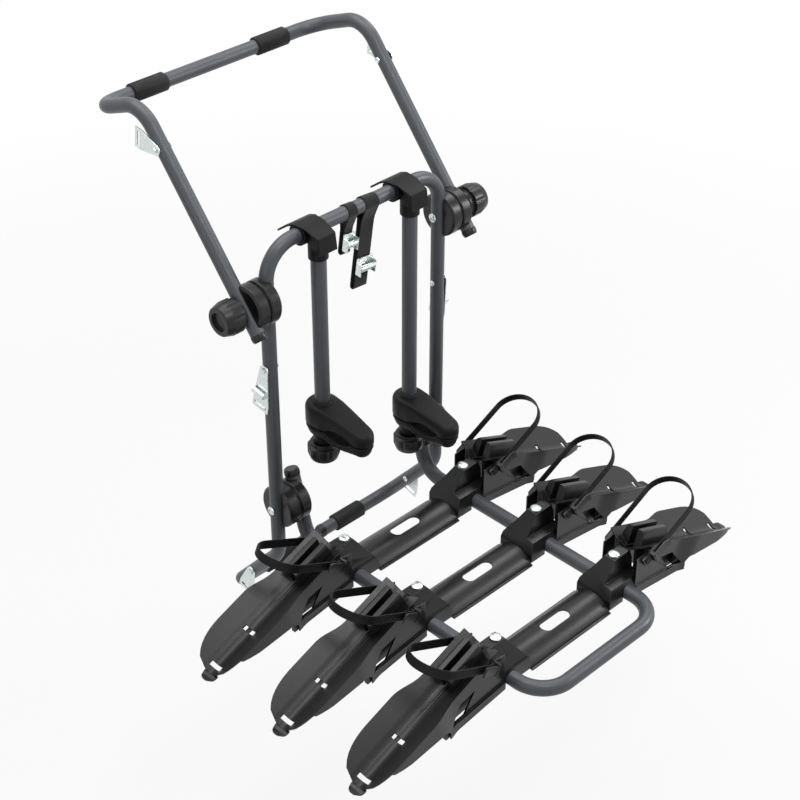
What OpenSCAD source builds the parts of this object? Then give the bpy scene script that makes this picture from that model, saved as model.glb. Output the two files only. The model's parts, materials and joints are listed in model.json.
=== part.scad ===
// Bike rack for a car's tailgate: a main frame that leans on the bumper, an upper frame that
// leans on the lid, and a platform with three wheel trays. Toothed drum hinges set both angles.
// Millimetres, +Z up, +Y towards the car, origin in the middle of the bumper bar's axis.

/* [Main frame] */
// Half the distance between the legs
leg_x = 221; // [200:1:240]
// Distance of the legs from the bumper bar, away from the car
leg_set = 148; // [130:1:170]
// Height of the crossbar over the bumper bar
crossbar_z = 859; // [840:1:900]
// Height of the knees, where the legs turn towards the car
knee_z = 167; // [150:1:185]
// Half the open space between the ends of the bumper bar
bar_gap = 28; // [20:1:40]
// Outer diameter of the main and upper tubes
main_d = 28; // [26:1:30]
// Wall of every tube
tube_wall = 1.5; // [1.2:0.1:2.5]
// Bend radius of the upper corners of the main frame
corner_bend = 66; // [55:1:75]
// Bend radius of the knees
knee_bend = 60; // [45:1:70]
// Bend radius of the toes, where the feet turn inwards
toe_bend = 50; // [40:1:60]

/* [Upper frame] */
// Height of the upper hinge axis
upper_hinge_z = 758; // [740:1:775]
// Distance of the arms outwards from the legs
arm_offset = 52; // [50:1:56]
// Angle of the arms over the horizontal
arm_angle = 50.4; // [45:0.1:56]
// Length of an arm from the hinge to its upper bend
arm_run = 408; // [380:1:440]
// Length from the upper bend to the lid bar
top_run = 150; // [140:1:170]
// Angle by which the upper ends drop towards the lid
top_drop = 21; // [12:1:26]
// Length of an arm past its hinge
arm_stub = 50; // [48:1:65]
// Bend radius of the upper bends
arm_bend = 66; // [50:1:75]
// Bend radius of the corners of the lid bar
lid_bend = 55; // [45:1:65]

/* [Platform] */
// Half the distance between the side tubes of the platform
platform_x = 167; // [160:1:170]
// Height of the side tubes
platform_z = 180; // [170:1:190]
// Distance of the front tube from the bumper bar
front_set = 801; // [790:1:840]
// Outer diameter of the platform tube and of the hanger tubes
platform_d = 30; // [28:1:31]
// Lean of the platform's uprights from the vertical
platform_lean = 16; // [10:1:20]
// Length of an upright over its hinge
platform_stub = 48; // [47:1:60]
// Bend radius at the foot of the uprights
upright_bend = 55; // [45:1:60]
// Bend radius of the front corners
front_bend = 65; // [50:1:80]

/* [Hinges] */
// Height of the lower hinge axis
lower_hinge_z = 281; // [275:1:300]
// Radius of the hinge drums
drum_r = 44; // [40:1:46]
// Depth of the groove between the two drums of a hinge
drum_groove = 4; // [2:0.5:6]
// Bevel of a drum's outer rim
drum_rim = 4; // [1:0.5:6]
// Width of the toothed rings that meet between two drums
ring_w = 1.8; // [1:0.1:3]
// Diameter of the hinge bolts
hinge_bolt_d = 10; // [8:1:12]
// Radius of the hand knobs
knob_r = 33; // [28:1:36]
// Length of the hand knobs
knob_len = 48; // [40:1:60]
// Number of finger flutes round a hand knob
knob_flutes = 8; // [6:1:12]

/* [Hangers and clamp heads] */
// Half the distance between the two hangers
hanger_x = 117; // [112:1:117]
// Distance of the hangers in front of the crossbar
hanger_set = 26; // [24:1:30]
// Height of the top of the left clamp head
head_z = 497; // [480:1:520]
// How much lower the right clamp head hangs, on its longer hanger
right_drop = 97; // [80:1:110]
// Length of a clamp head in front of its hanger
head_reach = 131; // [120:1:145]
// Radius of a clamp head at its nose
nose_r = 23; // [20:1:27]
// Radius of a clamp head round its hanger
heel_r = 34; // [30:1:36]
// How far an upper jaw's top falls from its collar to its nose
head_fall = 20; // [10:1:22]
// Height of an upper jaw
upper_jaw_h = 42; // [38:1:48]
// Height of a lower jaw
lower_jaw_h = 26; // [22:1:32]
// Gap between the two jaws
jaw_gap = 3; // [2:0.5:5]
// Radius of the jaws' mouth, across the frame tube that it holds
mouth_r = 62; // [50:1:75]
// Depth of the mouth in each jaw
mouth_depth = 15; // [10:1:16]
// Thickness of the rubber pads in the mouth
pad_t = 4; // [3:0.5:5]
// Diameter of the jaw bolts
jaw_bolt_d = 8; // [6:1:10]
// Radius of the jaw knobs
jaw_knob_r = 32; // [28:0.5:32]
// Height of the jaw knobs
jaw_knob_h = 40; // [36:1:46]
// Length of a bar clamp along the crossbar
bar_clamp_len = 54; // [48:1:60]
// Wall of a bar clamp round the crossbar
bar_clamp_wall = 7; // [6:0.5:9]

/* [Wheel trays] */
// Distance between neighbouring trays
tray_pitch = 200; // [190:1:205]
// Distance of the first tray from the bumper bar
tray_first = 280; // [275:1:290]
// Height of the deck where the tray bolts sit
deck_z = 248; // [240:1:256]
// Width of a tray's bridge
bridge_w = 84; // [76:1:90]
// Height of the bridge's crown
bridge_z = 188; // [184:1:196]
// Wall of the moulded tray pieces
mould_t = 4; // [3:0.5:5]
// Length of the slot in the bridge
slot_len = 72; // [60:1:90]
// Width of the slot in the bridge
slot_w = 26; // [20:1:30]
// Half the length of a tray, to the tip of a holder
tray_half = 512; // [490:1:530]
// Angle by which a holder drops outwards
holder_drop = 22; // [18:0.5:24]
// Half the width of a holder at its widest
holder_w = 54; // [48:1:60]
// Half the width of the groove for the tyre
groove_w = 22; // [18:1:26]
// Rise of a holder's wings over the groove
wing_rise = 31; // [26:1:36]
// Diameter of the tray bolts' heads
tray_bolt_d = 22; // [18:1:26]
// Half the width of the deck under a tray bolt
deck_half = 12.5; // [11.5:0.5:14]
// Distance of a bracket's inner end from the side tube's axis
bracket_reach = 55; // [50:1:60]

/* [Straps and plates] */
// Width of the wheel straps
wheel_strap_w = 18; // [14:1:22]
// Thickness of the wheel straps
wheel_strap_t = 3; // [2:0.5:4]
// Straight length of a wheel strap from the holder
wheel_strap_run = 132; // [110:1:150]
// Angle by which a wheel strap stands over the horizontal
wheel_strap_rise = 26; // [20:1:32]
// Length of the ratchet levers
lever_len = 42; // [34:1:46]
// Width of the short webbing on the crossbar
short_web_w = 22; // [18:1:26]
// Width of the long webbing on the crossbar
long_web_w = 34; // [30:1:40]
// Thickness of the webbing
web_t = 2; // [1.5:0.1:3]
// Drop of the short webbing under the crossbar
short_drop = 92; // [80:1:110]
// Drop of the long webbing under the crossbar
long_drop = 186; // [160:1:200]
// Thickness of the strap plates and buckles
plate_t = 2.5; // [2:0.1:3]
// Length of the slot for the webbing in a plate
plate_slot = 30; // [26:1:32]
// Height of the bolts of the plates on the legs
leg_plate_z = 610; // [600:1:620]
// Distance of the bolts of the foot plates from the knees
foot_plate_run = 112; // [106:1:116]
// Distance of the bolts of the arm plates from the upper hinge
arm_plate_run = 322; // [310:1:328]
// Width of the strap plates
plate_w = 42; // [38:1:46]
// Length of the arm plates under their bolts
arm_plate_len = 58; // [52:1:64]
// Length of the leg plates under their bolts
leg_plate_len = 96; // [90:1:102]
// Length of the foot plates under their bolts
foot_plate_len = 62; // [58:1:66]
// Thickness of the foam sleeves on the tubes
sleeve_t = 4.5; // [3:0.5:6]
// Length of the sleeves
sleeve_len = 80; // [70:1:90]

/* [Hidden] */
$fn = 64;
// Clearance between pieces that move, and between pieces that are seated
run_gap = 0.3;
seat_gap = 0.15;
// A cut's overshoot past the faces that it opens
over = 2;
// How far the shapes that make up one solid lap into each other
lap = 0.01;
// How much thicker a bent stretch of tube is than a straight one
bend_swell = 0.02;

main_r = main_d / 2;
plat_r = platform_d / 2;
leg_y = -leg_set;
hanger_y = leg_y - hanger_set;
sides = [-1, 1];
tray_count = 3;
trays = [for (i = [0 : tray_count - 1]) i];

function unit(v) = v / norm(v);
function tray_y(i) = -tray_first - i * tray_pitch;
function side_name(s) = s < 0 ? "left" : "right";

// Placing helpers

// A direction square to z
function side_of(z) = unit(cross(abs(z[2]) < 0.9 ? [0, 0, 1] : [0, 1, 0], z));

// Places children so that their +Z runs along d from p
module along(p, d) {
    z = unit(d);
    x = side_of(z);
    y = cross(z, x);
    multmatrix([[x[0], y[0], z[0], p[0]], [x[1], y[1], z[1], p[1]],
                [x[2], y[2], z[2], p[2]], [0, 0, 0, 1]]) children();
}

// Children drawn for the right side, placed on the side that s names
module place(s) {
    if (s > 0) children();
    else mirror([1, 0, 0]) children();
}

// Children drawn for the right side, on both sides
module both() {
    for (s = sides) place(s) children();
}

// A rod of radius r along the X axis from x0 to x1
module rod_x(x0, x1, r, y = 0, z = 0) {
    translate([x0, y, z]) rotate([0, 90, 0]) cylinder(r = r, h = x1 - x0);
}

// A side profile drawn with X right and Z up, extruded along Y over w and centred on y
module side_slab(w, y = 0) {
    translate([0, y + w / 2, 0]) rotate([90, 0, 0]) linear_extrude(w) children();
}

// A profile drawn with Y right and Z up, extruded along X from x0 over w
module end_slab(x0, w) {
    translate([x0, 0, 0]) rotate([90, 0, 90]) linear_extrude(w) children();
}

// Bent tubes

// How far a bend of radius r takes up each of the two runs that meet at point i
function trim(p, b, i) = i == 0 || i == len(p) - 1 ? 0
    : b[i - 1] * tan(acos(unit(p[i] - p[i - 1]) * unit(p[i + 1] - p[i])) / 2);

// A round rod along the points p, with the bend radii b at its inner points
module bent_rod(p, b, r) {
    along(p[0], p[1] - p[0]) rod_run(p, b, r, 0, side_of(unit(p[1] - p[0])));
}

// The rod from point i onwards: a straight run along +Z, the bend after it, and the rest from there
module rod_run(p, b, r, i, x) {
    run = norm(p[i + 1] - p[i]) - trim(p, b, i) - trim(p, b, i + 1);
    cylinder(r = r, h = run);
    if (i < len(p) - 2) {
        u = unit(p[i + 1] - p[i]);
        v = unit(p[i + 2] - p[i + 1]);
        n = unit(v - u * (u * v));
        turn = acos(u * v);
        translate([0, 0, run]) rotate(atan2(n * cross(u, x), n * x)) translate([b[i], 0, 0]) {
            rod_bend(b[i], turn, r);
            rotate([0, turn, 0]) translate([-b[i], 0, 0])
                rod_run(p, b, r, i + 1, n * cos(turn) - u * sin(turn));
        }
    }
}

// A bend round the Y axis from -X upwards: a half ring, a touch thicker than the runs, cut at
// the angle turn
module rod_bend(bend, turn, r) {
    reach = bend + r + over;
    difference() {
        rotate([90, 0, 180]) rotate_extrude(angle = 180) translate([bend, 0]) circle(r + bend_swell);
        rotate([0, turn, 0]) translate([-reach, -reach, 0]) cube(2 * reach);
    }
}

module bent_tube(p, b, r) {
    difference() {
        bent_rod(p, b, r);
        bent_rod(stretched(p), b, r - tube_wall);
    }
}

// The same points with both ends moved outwards, so that a bore opens at both ends
function stretched(p) = [for (i = [0 : len(p) - 1])
    i == 0 ? p[0] + unit(p[0] - p[1]) * over
    : i == len(p) - 1 ? p[i] + unit(p[i] - p[i - 1]) * over : p[i]];

// End caps: how far they stand out round the tube, their skirt, their plug and their dome
cap_lip = 1;
cap_skirt = 5;
cap_plug = 12;
cap_dome = 8.5;

// A domed plug for the end of a tube of radius r, with its shoulder at the origin and its dome on +Z
module tube_cap(r) {
    rim = r + cap_lip;
    rotate_extrude() {
        translate([0, -cap_plug]) square([r - tube_wall - seat_gap, cap_plug + cap_skirt]);
        translate([0, seat_gap]) square([rim, cap_skirt - seat_gap]);
        translate([0, cap_skirt]) intersection() {
            circle(rim);
            translate([0, -lap]) square([rim, cap_dome + lap]);
        }
    }
}

// Frame routes: the points of the right half, from the middle outwards

// A whole route from its right half p
function whole(p) = concat([for (i = [len(p) - 1 : -1 : 0]) [-p[i][0], p[i][1], p[i][2]]], p);

bar_end = [bar_gap, 0, 0];
toe = [leg_x, 0, 0];
knee = [leg_x, leg_y, knee_z];
corner = [leg_x, leg_y, crossbar_z];
main_half = [corner, knee, toe, bar_end];
main_route = whole(main_half);
main_bends = [toe_bend, knee_bend, corner_bend, corner_bend, knee_bend, toe_bend];

arm_x = leg_x + arm_offset;
arm_dir = [0, cos(arm_angle), sin(arm_angle)];
top_dir = [0, cos(top_drop), -sin(top_drop)];
upper_hinge = [arm_x, leg_y, upper_hinge_z];
arm_end = upper_hinge - arm_dir * arm_stub;
arm_top = upper_hinge + arm_dir * arm_run;
lid_corner = arm_top + top_dir * top_run;
upper_half = [lid_corner, arm_top, arm_end];
upper_route = whole(upper_half);
upper_bends = [arm_bend, lid_bend, lid_bend, arm_bend];

upright_dir = [0, -sin(platform_lean), -cos(platform_lean)];
lower_hinge = [platform_x, leg_y, lower_hinge_z];
upright_top = lower_hinge - upright_dir * platform_stub;
upright_foot = lower_hinge + upright_dir * (lower_hinge_z - platform_z) / cos(platform_lean);
front_corner = [platform_x, -front_set, platform_z];
platform_half = [front_corner, upright_foot, upright_top];
platform_route = whole(platform_half);
platform_bends = [upright_bend, front_bend, front_bend, upright_bend];

// Bolts that fasten the strap plates: one on each leg, foot and arm
plate_bolt_r = 3;
plate_head_r = 6;
plate_head_h = 4;
foot_dir = unit(toe - knee);
leg_plate_bolt = [leg_x, leg_y, leg_plate_z];
foot_plate_bolt = knee + foot_dir * foot_plate_run;
arm_plate_bolt = upper_hinge + arm_dir * arm_plate_run;

bolt_r = hinge_bolt_d / 2;

// A hole through a tube along X, for a bolt of radius r at p
module cross_hole(p, r) {
    rod_x(p[0] - main_d, p[0] + main_d, r + seat_gap, p[1], p[2]);
}

// Frames

module main_frame() {
    color("dimgray") difference() {
        bent_tube(main_route, main_bends, main_r);
        both() {
            cross_hole([leg_x, leg_y, upper_hinge_z], bolt_r);
            cross_hole([leg_x, leg_y, lower_hinge_z], bolt_r);
            cross_hole(leg_plate_bolt, plate_bolt_r);
            cross_hole(foot_plate_bolt, plate_bolt_r);
        }
    }
}

module upper_frame() {
    color("dimgray") difference() {
        bent_tube(upper_route, upper_bends, main_r);
        both() {
            cross_hole(upper_hinge, bolt_r + run_gap);
            cross_hole(arm_plate_bolt, plate_bolt_r);
        }
    }
}

module platform_frame() {
    color("dimgray") difference() {
        bent_tube(platform_route, platform_bends, plat_r);
        both() cross_hole(lower_hinge, bolt_r + run_gap);
    }
}

module foot_caps() {
    color("black") both() along(bar_end, bar_end - toe) tube_cap(main_r);
}

module upper_frame_caps() {
    color("black") both() along(arm_end, -arm_dir) tube_cap(main_r);
}

module platform_caps() {
    color("black") both() along(upright_top, -upright_dir) tube_cap(plat_r);
}

// How much the sleeves are flattened on four sides, and where they start
sleeve_flat = 1.35;
foot_sleeve_x = bar_gap + 32;
lid_sleeve_x = 112;

// A foam sleeve along X from x0, flattened on four sides, on the tube whose axis passes through y, z
module sleeve(x0, y, z) {
    flat_w = 2 * (main_r + sleeve_t - sleeve_flat);
    translate([x0, y, z]) rotate([0, 90, 0]) difference() {
        intersection() {
            cylinder(r = main_r + sleeve_t, h = sleeve_len);
            translate([-flat_w / 2, -flat_w / 2, 0]) cube([flat_w, flat_w, sleeve_len]);
        }
        translate([0, 0, -over]) cylinder(r = main_r + seat_gap, h = sleeve_len + 2 * over);
    }
}

module foot_sleeves() {
    color("#222222") both() sleeve(foot_sleeve_x, 0, 0);
}

module lid_sleeves() {
    color("#222222") both() sleeve(lid_sleeve_x, lid_corner[1], lid_corner[2]);
}

// Drum hinges

// Middle plane of a hinge, measured from the axis of the tube that a drum sits on
upper_mid = arm_offset / 2;
lower_mid = (leg_x - platform_x) / 2;
// Height of a drum over the plane of its tube's axis, and how far it laps past that plane
drum_lap = 1;

// A drum along +X from its tube's axis plane at the origin, with the tube along d and the ring at mid
module drum(mid, d, tube_r, hole) {
    face = mid - run_gap / 2;
    body = face - ring_w;
    difference() {
        rotate([0, 90, 0]) rotate_extrude() polygon([[0, -drum_lap], [drum_r - drum_rim, -drum_lap],
            [drum_r, drum_rim - drum_lap], [drum_r, body - drum_rim / 2], [drum_r - drum_rim / 2, body],
            [drum_r - drum_groove, body], [drum_r - drum_groove, face], [0, face]]);
        along(-d * 2 * drum_r, d) cylinder(r = tube_r + seat_gap, h = 4 * drum_r);
        rod_x(-drum_lap - over, face + over, hole);
    }
}

module upper_leg_drums() {
    color("#1c1c1c") both() translate([leg_x, leg_y, upper_hinge_z])
        drum(upper_mid, [0, 0, 1], main_r, bolt_r + seat_gap);
}

module upper_arm_drums() {
    color("#1c1c1c") both() translate(upper_hinge) mirror([1, 0, 0])
        drum(upper_mid, arm_dir, main_r, bolt_r + run_gap);
}

module lower_leg_drums() {
    color("#1c1c1c") both() translate([leg_x, leg_y, lower_hinge_z]) mirror([1, 0, 0])
        drum(lower_mid, [0, 0, 1], main_r, bolt_r + seat_gap);
}

module lower_platform_drums() {
    color("#1c1c1c") both() translate(lower_hinge)
        drum(lower_mid, upright_dir, plat_r, bolt_r + run_gap);
}

// A round bolt head with a hexagon socket, facing +X from the origin
module button_head(r, h) {
    difference() {
        rotate([0, 90, 0]) rotate_extrude() intersection() {
            translate([0, h - r * 1.4]) circle(r * 1.4);
            square([r, h]);
        }
        translate([h / 2, 0, 0]) rotate([0, 90, 0]) cylinder(r = r / 2, h = h, $fn = 6);
    }
}

// Length of thread inside a hinge knob
knob_thread = knob_len * 0.6;
hinge_head_r = 9;
hinge_head_h = 6;
knob_seat = arm_x + main_r + run_gap;

module upper_hinge_bolts() {
    head_x = leg_x - main_r;
    color("silver") both() translate([0, leg_y, upper_hinge_z]) {
        rod_x(head_x, knob_seat + knob_thread, bolt_r);
        translate([head_x, 0, 0]) mirror([1, 0, 0]) button_head(hinge_head_r, hinge_head_h);
    }
}

module lower_hinge_bolts() {
    head_x = leg_x + main_r;
    end_x = platform_x - plat_r - run_gap;
    end_h = 2;
    end_r = bolt_r * 1.9;
    color("silver") both() translate([0, leg_y, lower_hinge_z]) {
        rod_x(end_x - end_h, head_x, bolt_r);
        translate([head_x, 0, 0]) button_head(hinge_head_r, hinge_head_h);
        rod_x(end_x - end_h, end_x, end_r);
    }
}

// A fluted knob along +Z from the origin, with a collar at its foot and a hollow face at its top
module fluted_knob(r, h, flutes, hole, depth) {
    collar = h * 0.18;
    flute_r = r * 0.2;
    face_r = r * 0.86;
    dish_r = r * 0.55;
    dish = h * 0.12;
    edge = 2;
    difference() {
        rotate_extrude() polygon([[0, 0], [r * 0.8, 0], [r * 0.8, collar], [r, collar + edge], [r, h * 0.62],
                                  [face_r, h - edge], [face_r - edge, h], [0, h]]);
        for (i = [0 : flutes - 1]) rotate((i + 0.5) * 360 / flutes)
            translate([r + flute_r * 0.72, 0, collar + 1]) cylinder(r = flute_r, h = h);
        translate([0, 0, h - dish]) cylinder(r = dish_r, h = dish + over);
        translate([0, 0, -over]) cylinder(r = hole, h = depth + over);
    }
}

module hinge_knob(s) {
    color("#151515") place(s) translate([knob_seat, leg_y, upper_hinge_z]) rotate([0, 90, 0])
        fluted_knob(knob_r, knob_len, knob_flutes, bolt_r + run_gap, knob_thread + 1);
}

// Hangers

clamp_r = main_r + bar_clamp_wall;
// Covers of the bar clamps: their reach behind and in front of the bar, widths, wall and drops
cover_back = 48;
cover_front = 50;
cover_w_back = 64;
cover_w_front = 44;
cover_t = 4;
cover_face = 30;
cover_back_drop = 24;
cover_front_drop = 11;
cover_z = crossbar_z + main_r + 0.75;
cover_y0 = leg_y + cover_back;
cover_y1 = leg_y - cover_front;
// The underside of a cover from back to front, which the clamp under it follows
cover_under = [[cover_y0, cover_z - cover_back_drop], [leg_y + 26, cover_z - 7], [leg_y + 10, cover_z],
               [leg_y - 18, cover_z], [cover_y1 + cover_t, cover_z - cover_front_drop]];
socket_r = plat_r + 4;
socket_foot = crossbar_z - main_r - 32;
hanger_top = crossbar_z - main_r - 4;

// The clamp round the crossbar, open at the top, with a socket under it for the hanger tube
module bar_clamp(s) {
    block_w = 2 * socket_r;
    color("#1a1a1a") place(s) translate([hanger_x, 0, 0]) difference() {
        union() {
            rod_x(-bar_clamp_len / 2, bar_clamp_len / 2, clamp_r, leg_y, crossbar_z);
            translate([0, hanger_y, socket_foot]) cylinder(r = socket_r, h = crossbar_z - socket_foot);
            translate([-socket_r, hanger_y - socket_r, crossbar_z - clamp_r])
                cube([block_w, socket_r, 2 * clamp_r - 12]);
        }
        rod_x(-bar_clamp_len, bar_clamp_len, main_r + run_gap, leg_y, crossbar_z);
        translate([0, hanger_y, socket_foot - over])
            cylinder(r = plat_r + seat_gap, h = hanger_top + seat_gap - socket_foot + over);
        translate([0, 0, -seat_gap]) end_slab(-bar_clamp_len, 2 * bar_clamp_len)
            polygon(concat(cover_under, [[cover_y1 + cover_t, 2 * crossbar_z], [cover_y0, 2 * crossbar_z]]));
    }
}

// The cover over a bar clamp: arched over the bar, narrower in front, with a blunt front face
module bar_clamp_cover(s) {
    face_y = cover_y1 - 5;
    face_z = cover_z - cover_front_drop - cover_face;
    back_w = cover_w_back / 2;
    front_w = cover_w_front / 2;
    roof = [[face_y + cover_t, face_z], [face_y, face_z],
            [cover_y1, cover_z - cover_front_drop + cover_t], [leg_y - 18, cover_z + cover_t],
            [leg_y + 10, cover_z + cover_t], [leg_y + 27, cover_z - 7 + cover_t],
            [cover_y0 + 1, cover_z - cover_back_drop + cover_t]];
    color("#202020") place(s) translate([hanger_x, 0, 0]) intersection() {
        end_slab(-back_w, cover_w_back) polygon(concat(cover_under, roof));
        linear_extrude(2 * crossbar_z) polygon([
            [-back_w, cover_y0 + over], [-front_w, cover_y1], [-front_w, face_y],
            [front_w, face_y], [front_w, cover_y1], [back_w, cover_y0 + over]]);
    }
}

// Depth to which the hanger tube enters its clamp head
head_socket = 26;

function head_drop(s) = s > 0 ? right_drop : 0;

module hanger_tube(s) {
    foot = head_z - head_socket - head_drop(s);
    color("dimgray") place(s) translate([hanger_x, hanger_y, 0]) difference() {
        translate([0, 0, foot]) cylinder(r = plat_r, h = hanger_top - foot);
        translate([0, 0, foot - over]) cylinder(r = plat_r - tube_wall, h = hanger_top - foot + 2 * over);
    }
}

// Clamp heads, drawn with the hanger's axis at the origin and the nose towards -Y

nose_y = -(head_reach - nose_r);
mouth_y = -head_reach * 0.5;
upper_jaw_z = head_z - upper_jaw_h;
lower_jaw_z = upper_jaw_z - jaw_gap;

// Plan of a head: a round heel and a round nose with straight sides between them, drawn in by inset
module head_plan(inset = 0) {
    heel = heel_r - inset;
    nose = nose_r - inset;
    a = asin((heel_r - nose_r) / -nose_y);
    heel_x = (heel - lap) * cos(a);
    heel_y = -(heel - lap) * sin(a);
    tip_x = (nose - lap) * cos(a);
    tip_y = nose_y - (nose - lap) * sin(a);
    circle(heel);
    translate([0, nose_y]) circle(nose);
    polygon([[-heel_x, heel_y], [-tip_x, tip_y], [tip_x, tip_y], [heel_x, heel_y]]);
}

// The mouth along X: its upper arc when up is 1, its lower arc when up is -1, grown by grow
module mouth(up, grow = 0) {
    flat_z = up > 0 ? upper_jaw_z : lower_jaw_z;
    intersection() {
        translate([0, mouth_y, flat_z - up * (mouth_r - mouth_depth)]) rotate([0, 90, 0]) rotate(90)
            cylinder(r = mouth_r + grow, h = 2 * (heel_r + over), center = true);
        translate([-heel_r - over, mouth_y - 2 * mouth_r, up > 0 ? flat_z - over : flat_z - 2 * mouth_r])
            cube([2 * heel_r + 2 * over, 4 * mouth_r, 2 * mouth_r + over]);
    }
}

// How far the pads stay in from a jaw's sides
pad_inset = 2;

module at_head(s) {
    place(s) translate([hanger_x, hanger_y, -head_drop(s)]) children();
}

// Collar of an upper jaw round its hanger, and the line across the jaw from which its top falls
collar_h = 5;
collar_r = plat_r + 5;
fall_y = -collar_r - 3;

// One step of an upper jaw: its plan drawn in by inset, up to a top that stays below the jaw's by lower
module jaw_step(inset, lower) {
    difference() {
        translate([0, 0, upper_jaw_z]) linear_extrude(upper_jaw_h - lower) head_plan(inset);
        translate([0, fall_y, head_z - lower]) rotate([atan(head_fall / (head_reach + fall_y)), 0, 0])
            translate([-heel_r - over, -2 * head_reach, 0])
                cube([2 * heel_r + 2 * over, 2 * head_reach, upper_jaw_h]);
    }
}

module upper_jaw(s) {
    shoulder = 9;
    color("#1d1d1d") at_head(s) difference() {
        union() {
            jaw_step(0, shoulder);
            jaw_step(2, shoulder / 2);
            jaw_step(6, 0);
            translate([0, 0, head_z - lap]) cylinder(r = collar_r, h = collar_h);
        }
        translate([0, 0, head_z - head_socket - seat_gap])
            cylinder(r = plat_r + seat_gap, h = head_socket + 2 * collar_h);
        translate([0, 0, upper_jaw_z - over]) cylinder(r = jaw_bolt_d / 2 + seat_gap, h = upper_jaw_h);
        mouth(1);
    }
}

module upper_pad(s) {
    color("#0c0c0c") at_head(s) intersection() {
        difference() {
            mouth(1, -seat_gap);
            mouth(1, -pad_t);
        }
        translate([0, 0, upper_jaw_z + run_gap]) linear_extrude(upper_jaw_h) head_plan(pad_inset);
    }
}

module lower_jaw(s) {
    rim = 8;
    keel = 10.4;
    foot_z = lower_jaw_z - lower_jaw_h;
    color("#1d1d1d") at_head(s) difference() {
        union() {
            translate([0, 0, lower_jaw_z - rim]) linear_extrude(rim) head_plan(1);
            translate([0, 0, foot_z + keel]) linear_extrude(lower_jaw_h - keel - rim + lap) head_plan(3);
            translate([0, 0, foot_z]) linear_extrude(keel + lap) head_plan(9);
            translate([0, 0, knob_top + run_gap]) cylinder(r = jaw_boss_r, h = jaw_boss_h + keel / 2);
        }
        translate([0, 0, knob_top])
            cylinder(r = jaw_bolt_d / 2 + run_gap, h = jaw_boss_h + lower_jaw_h + over);
        mouth(-1);
    }
}

module lower_pad(s) {
    color("#0c0c0c") at_head(s) intersection() {
        difference() {
            mouth(-1, -seat_gap);
            mouth(-1, -pad_t);
        }
        translate([0, 0, lower_jaw_z - lower_jaw_h]) linear_extrude(lower_jaw_h - run_gap)
            head_plan(pad_inset);
    }
}

jaw_boss_r = 20;
jaw_boss_h = 20;
knob_top = lower_jaw_z - lower_jaw_h - jaw_boss_h - run_gap;
// How far a jaw bolt enters its knob, and how far it enters the upper jaw
knob_engage = jaw_knob_h * 0.75;
jaw_thread = 14;

module jaw_bolt(s) {
    top = upper_jaw_z + jaw_thread;
    foot = knob_top - knob_engage;
    color("silver") at_head(s) translate([0, 0, foot]) cylinder(r = jaw_bolt_d / 2, h = top - foot);
}

module jaw_knob(s) {
    color("#151515") at_head(s) translate([0, 0, knob_top]) mirror([0, 0, 1])
        fluted_knob(jaw_knob_r, jaw_knob_h, knob_flutes, jaw_bolt_d / 2 + run_gap, knob_engage + 1);
}

// Wheel trays, drawn round y = 0

bracket_in = platform_x - bracket_reach;
bracket_out = platform_x + 40;
deck_in = platform_x - 14;
deck_out = platform_x + 33;
bracket_foot = platform_z - 14;
bridge_end = bracket_in - seat_gap;
// The bridge's crown is an arc over its width
bridge_sag = 20;
bridge_r = (bridge_w * bridge_w / 4 + bridge_sag * bridge_sag) / (2 * bridge_sag);
bridge_edge = bridge_z - bridge_sag;
lip_h = 7;
lip_w = 4;

module bridge_section() {
    intersection() {
        translate([0, bridge_z - bridge_r]) difference() {
            circle(bridge_r, $fn = 96);
            circle(bridge_r - mould_t, $fn = 96);
        }
        translate([-bridge_w / 2, bridge_edge - mould_t]) square([bridge_w, bridge_sag + 2 * mould_t]);
    }
    for (m = [0, 1]) mirror([m, 0]) {
        translate([bridge_w / 2 - mould_t, bridge_edge - lip_h]) square([mould_t, lip_h]);
        translate([bridge_w / 2 - lap, bridge_edge - lip_h]) square([lip_w + lap, mould_t]);
    }
}

module tray_bridge(i) {
    slot_r = slot_w / 2;
    color("#1b1b1b") translate([0, tray_y(i), 0]) difference() {
        end_slab(-bridge_end, 2 * bridge_end) bridge_section();
        translate([0, 0, bridge_edge - lip_h]) linear_extrude(lip_h + bridge_sag + over) {
            square([slot_len - slot_w, slot_w], center = true);
            for (s = sides) translate([s * (slot_len / 2 - slot_r), 0]) circle(slot_r);
        }
    }
}

// Outline of a bracket in side view, in by t: it climbs from the bridge to the deck over the side tube
function bracket_outline(t) = [
    [bracket_in + t, bracket_foot - t], [bracket_in + t, bridge_z - t], [deck_in + t, deck_z - 2 - t],
    [deck_in + 2 + t, deck_z - t], [deck_out - t, deck_z - t], [bracket_out - t, deck_z - 18 - t],
    [bracket_out - t, bracket_foot - t]];

// Outline of a bracket in end view, in by t: one flank has a ledge, and the other two slopes
ledge_z = deck_z - 44;
bracket_half = bridge_w / 2;
function bracket_section(t) = [
    [t - bracket_half, bracket_foot - t], [t - bracket_half, ledge_z - 20 - t],
    [t - bracket_half + 8, ledge_z - t], [t - deck_half - 3, ledge_z + 3 - t], [t - deck_half, deck_z - t],
    [deck_half - t, deck_z - t], [deck_half + 12 - t, deck_z - 24 - t], [bracket_half - 4 - t, ledge_z - t],
    [bracket_half - t, ledge_z - 8 - t], [bracket_half - t, bracket_foot - t]];

// The groove's line: it leaves the bracket's outer edge and drops outwards to the tip
groove_x = platform_x + 30;
groove_z = deck_z + 1;
holder_len = (tray_half - groove_x) / cos(holder_drop);
function groove_at(x) = groove_z - (x - groove_x) * tan(holder_drop);

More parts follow.
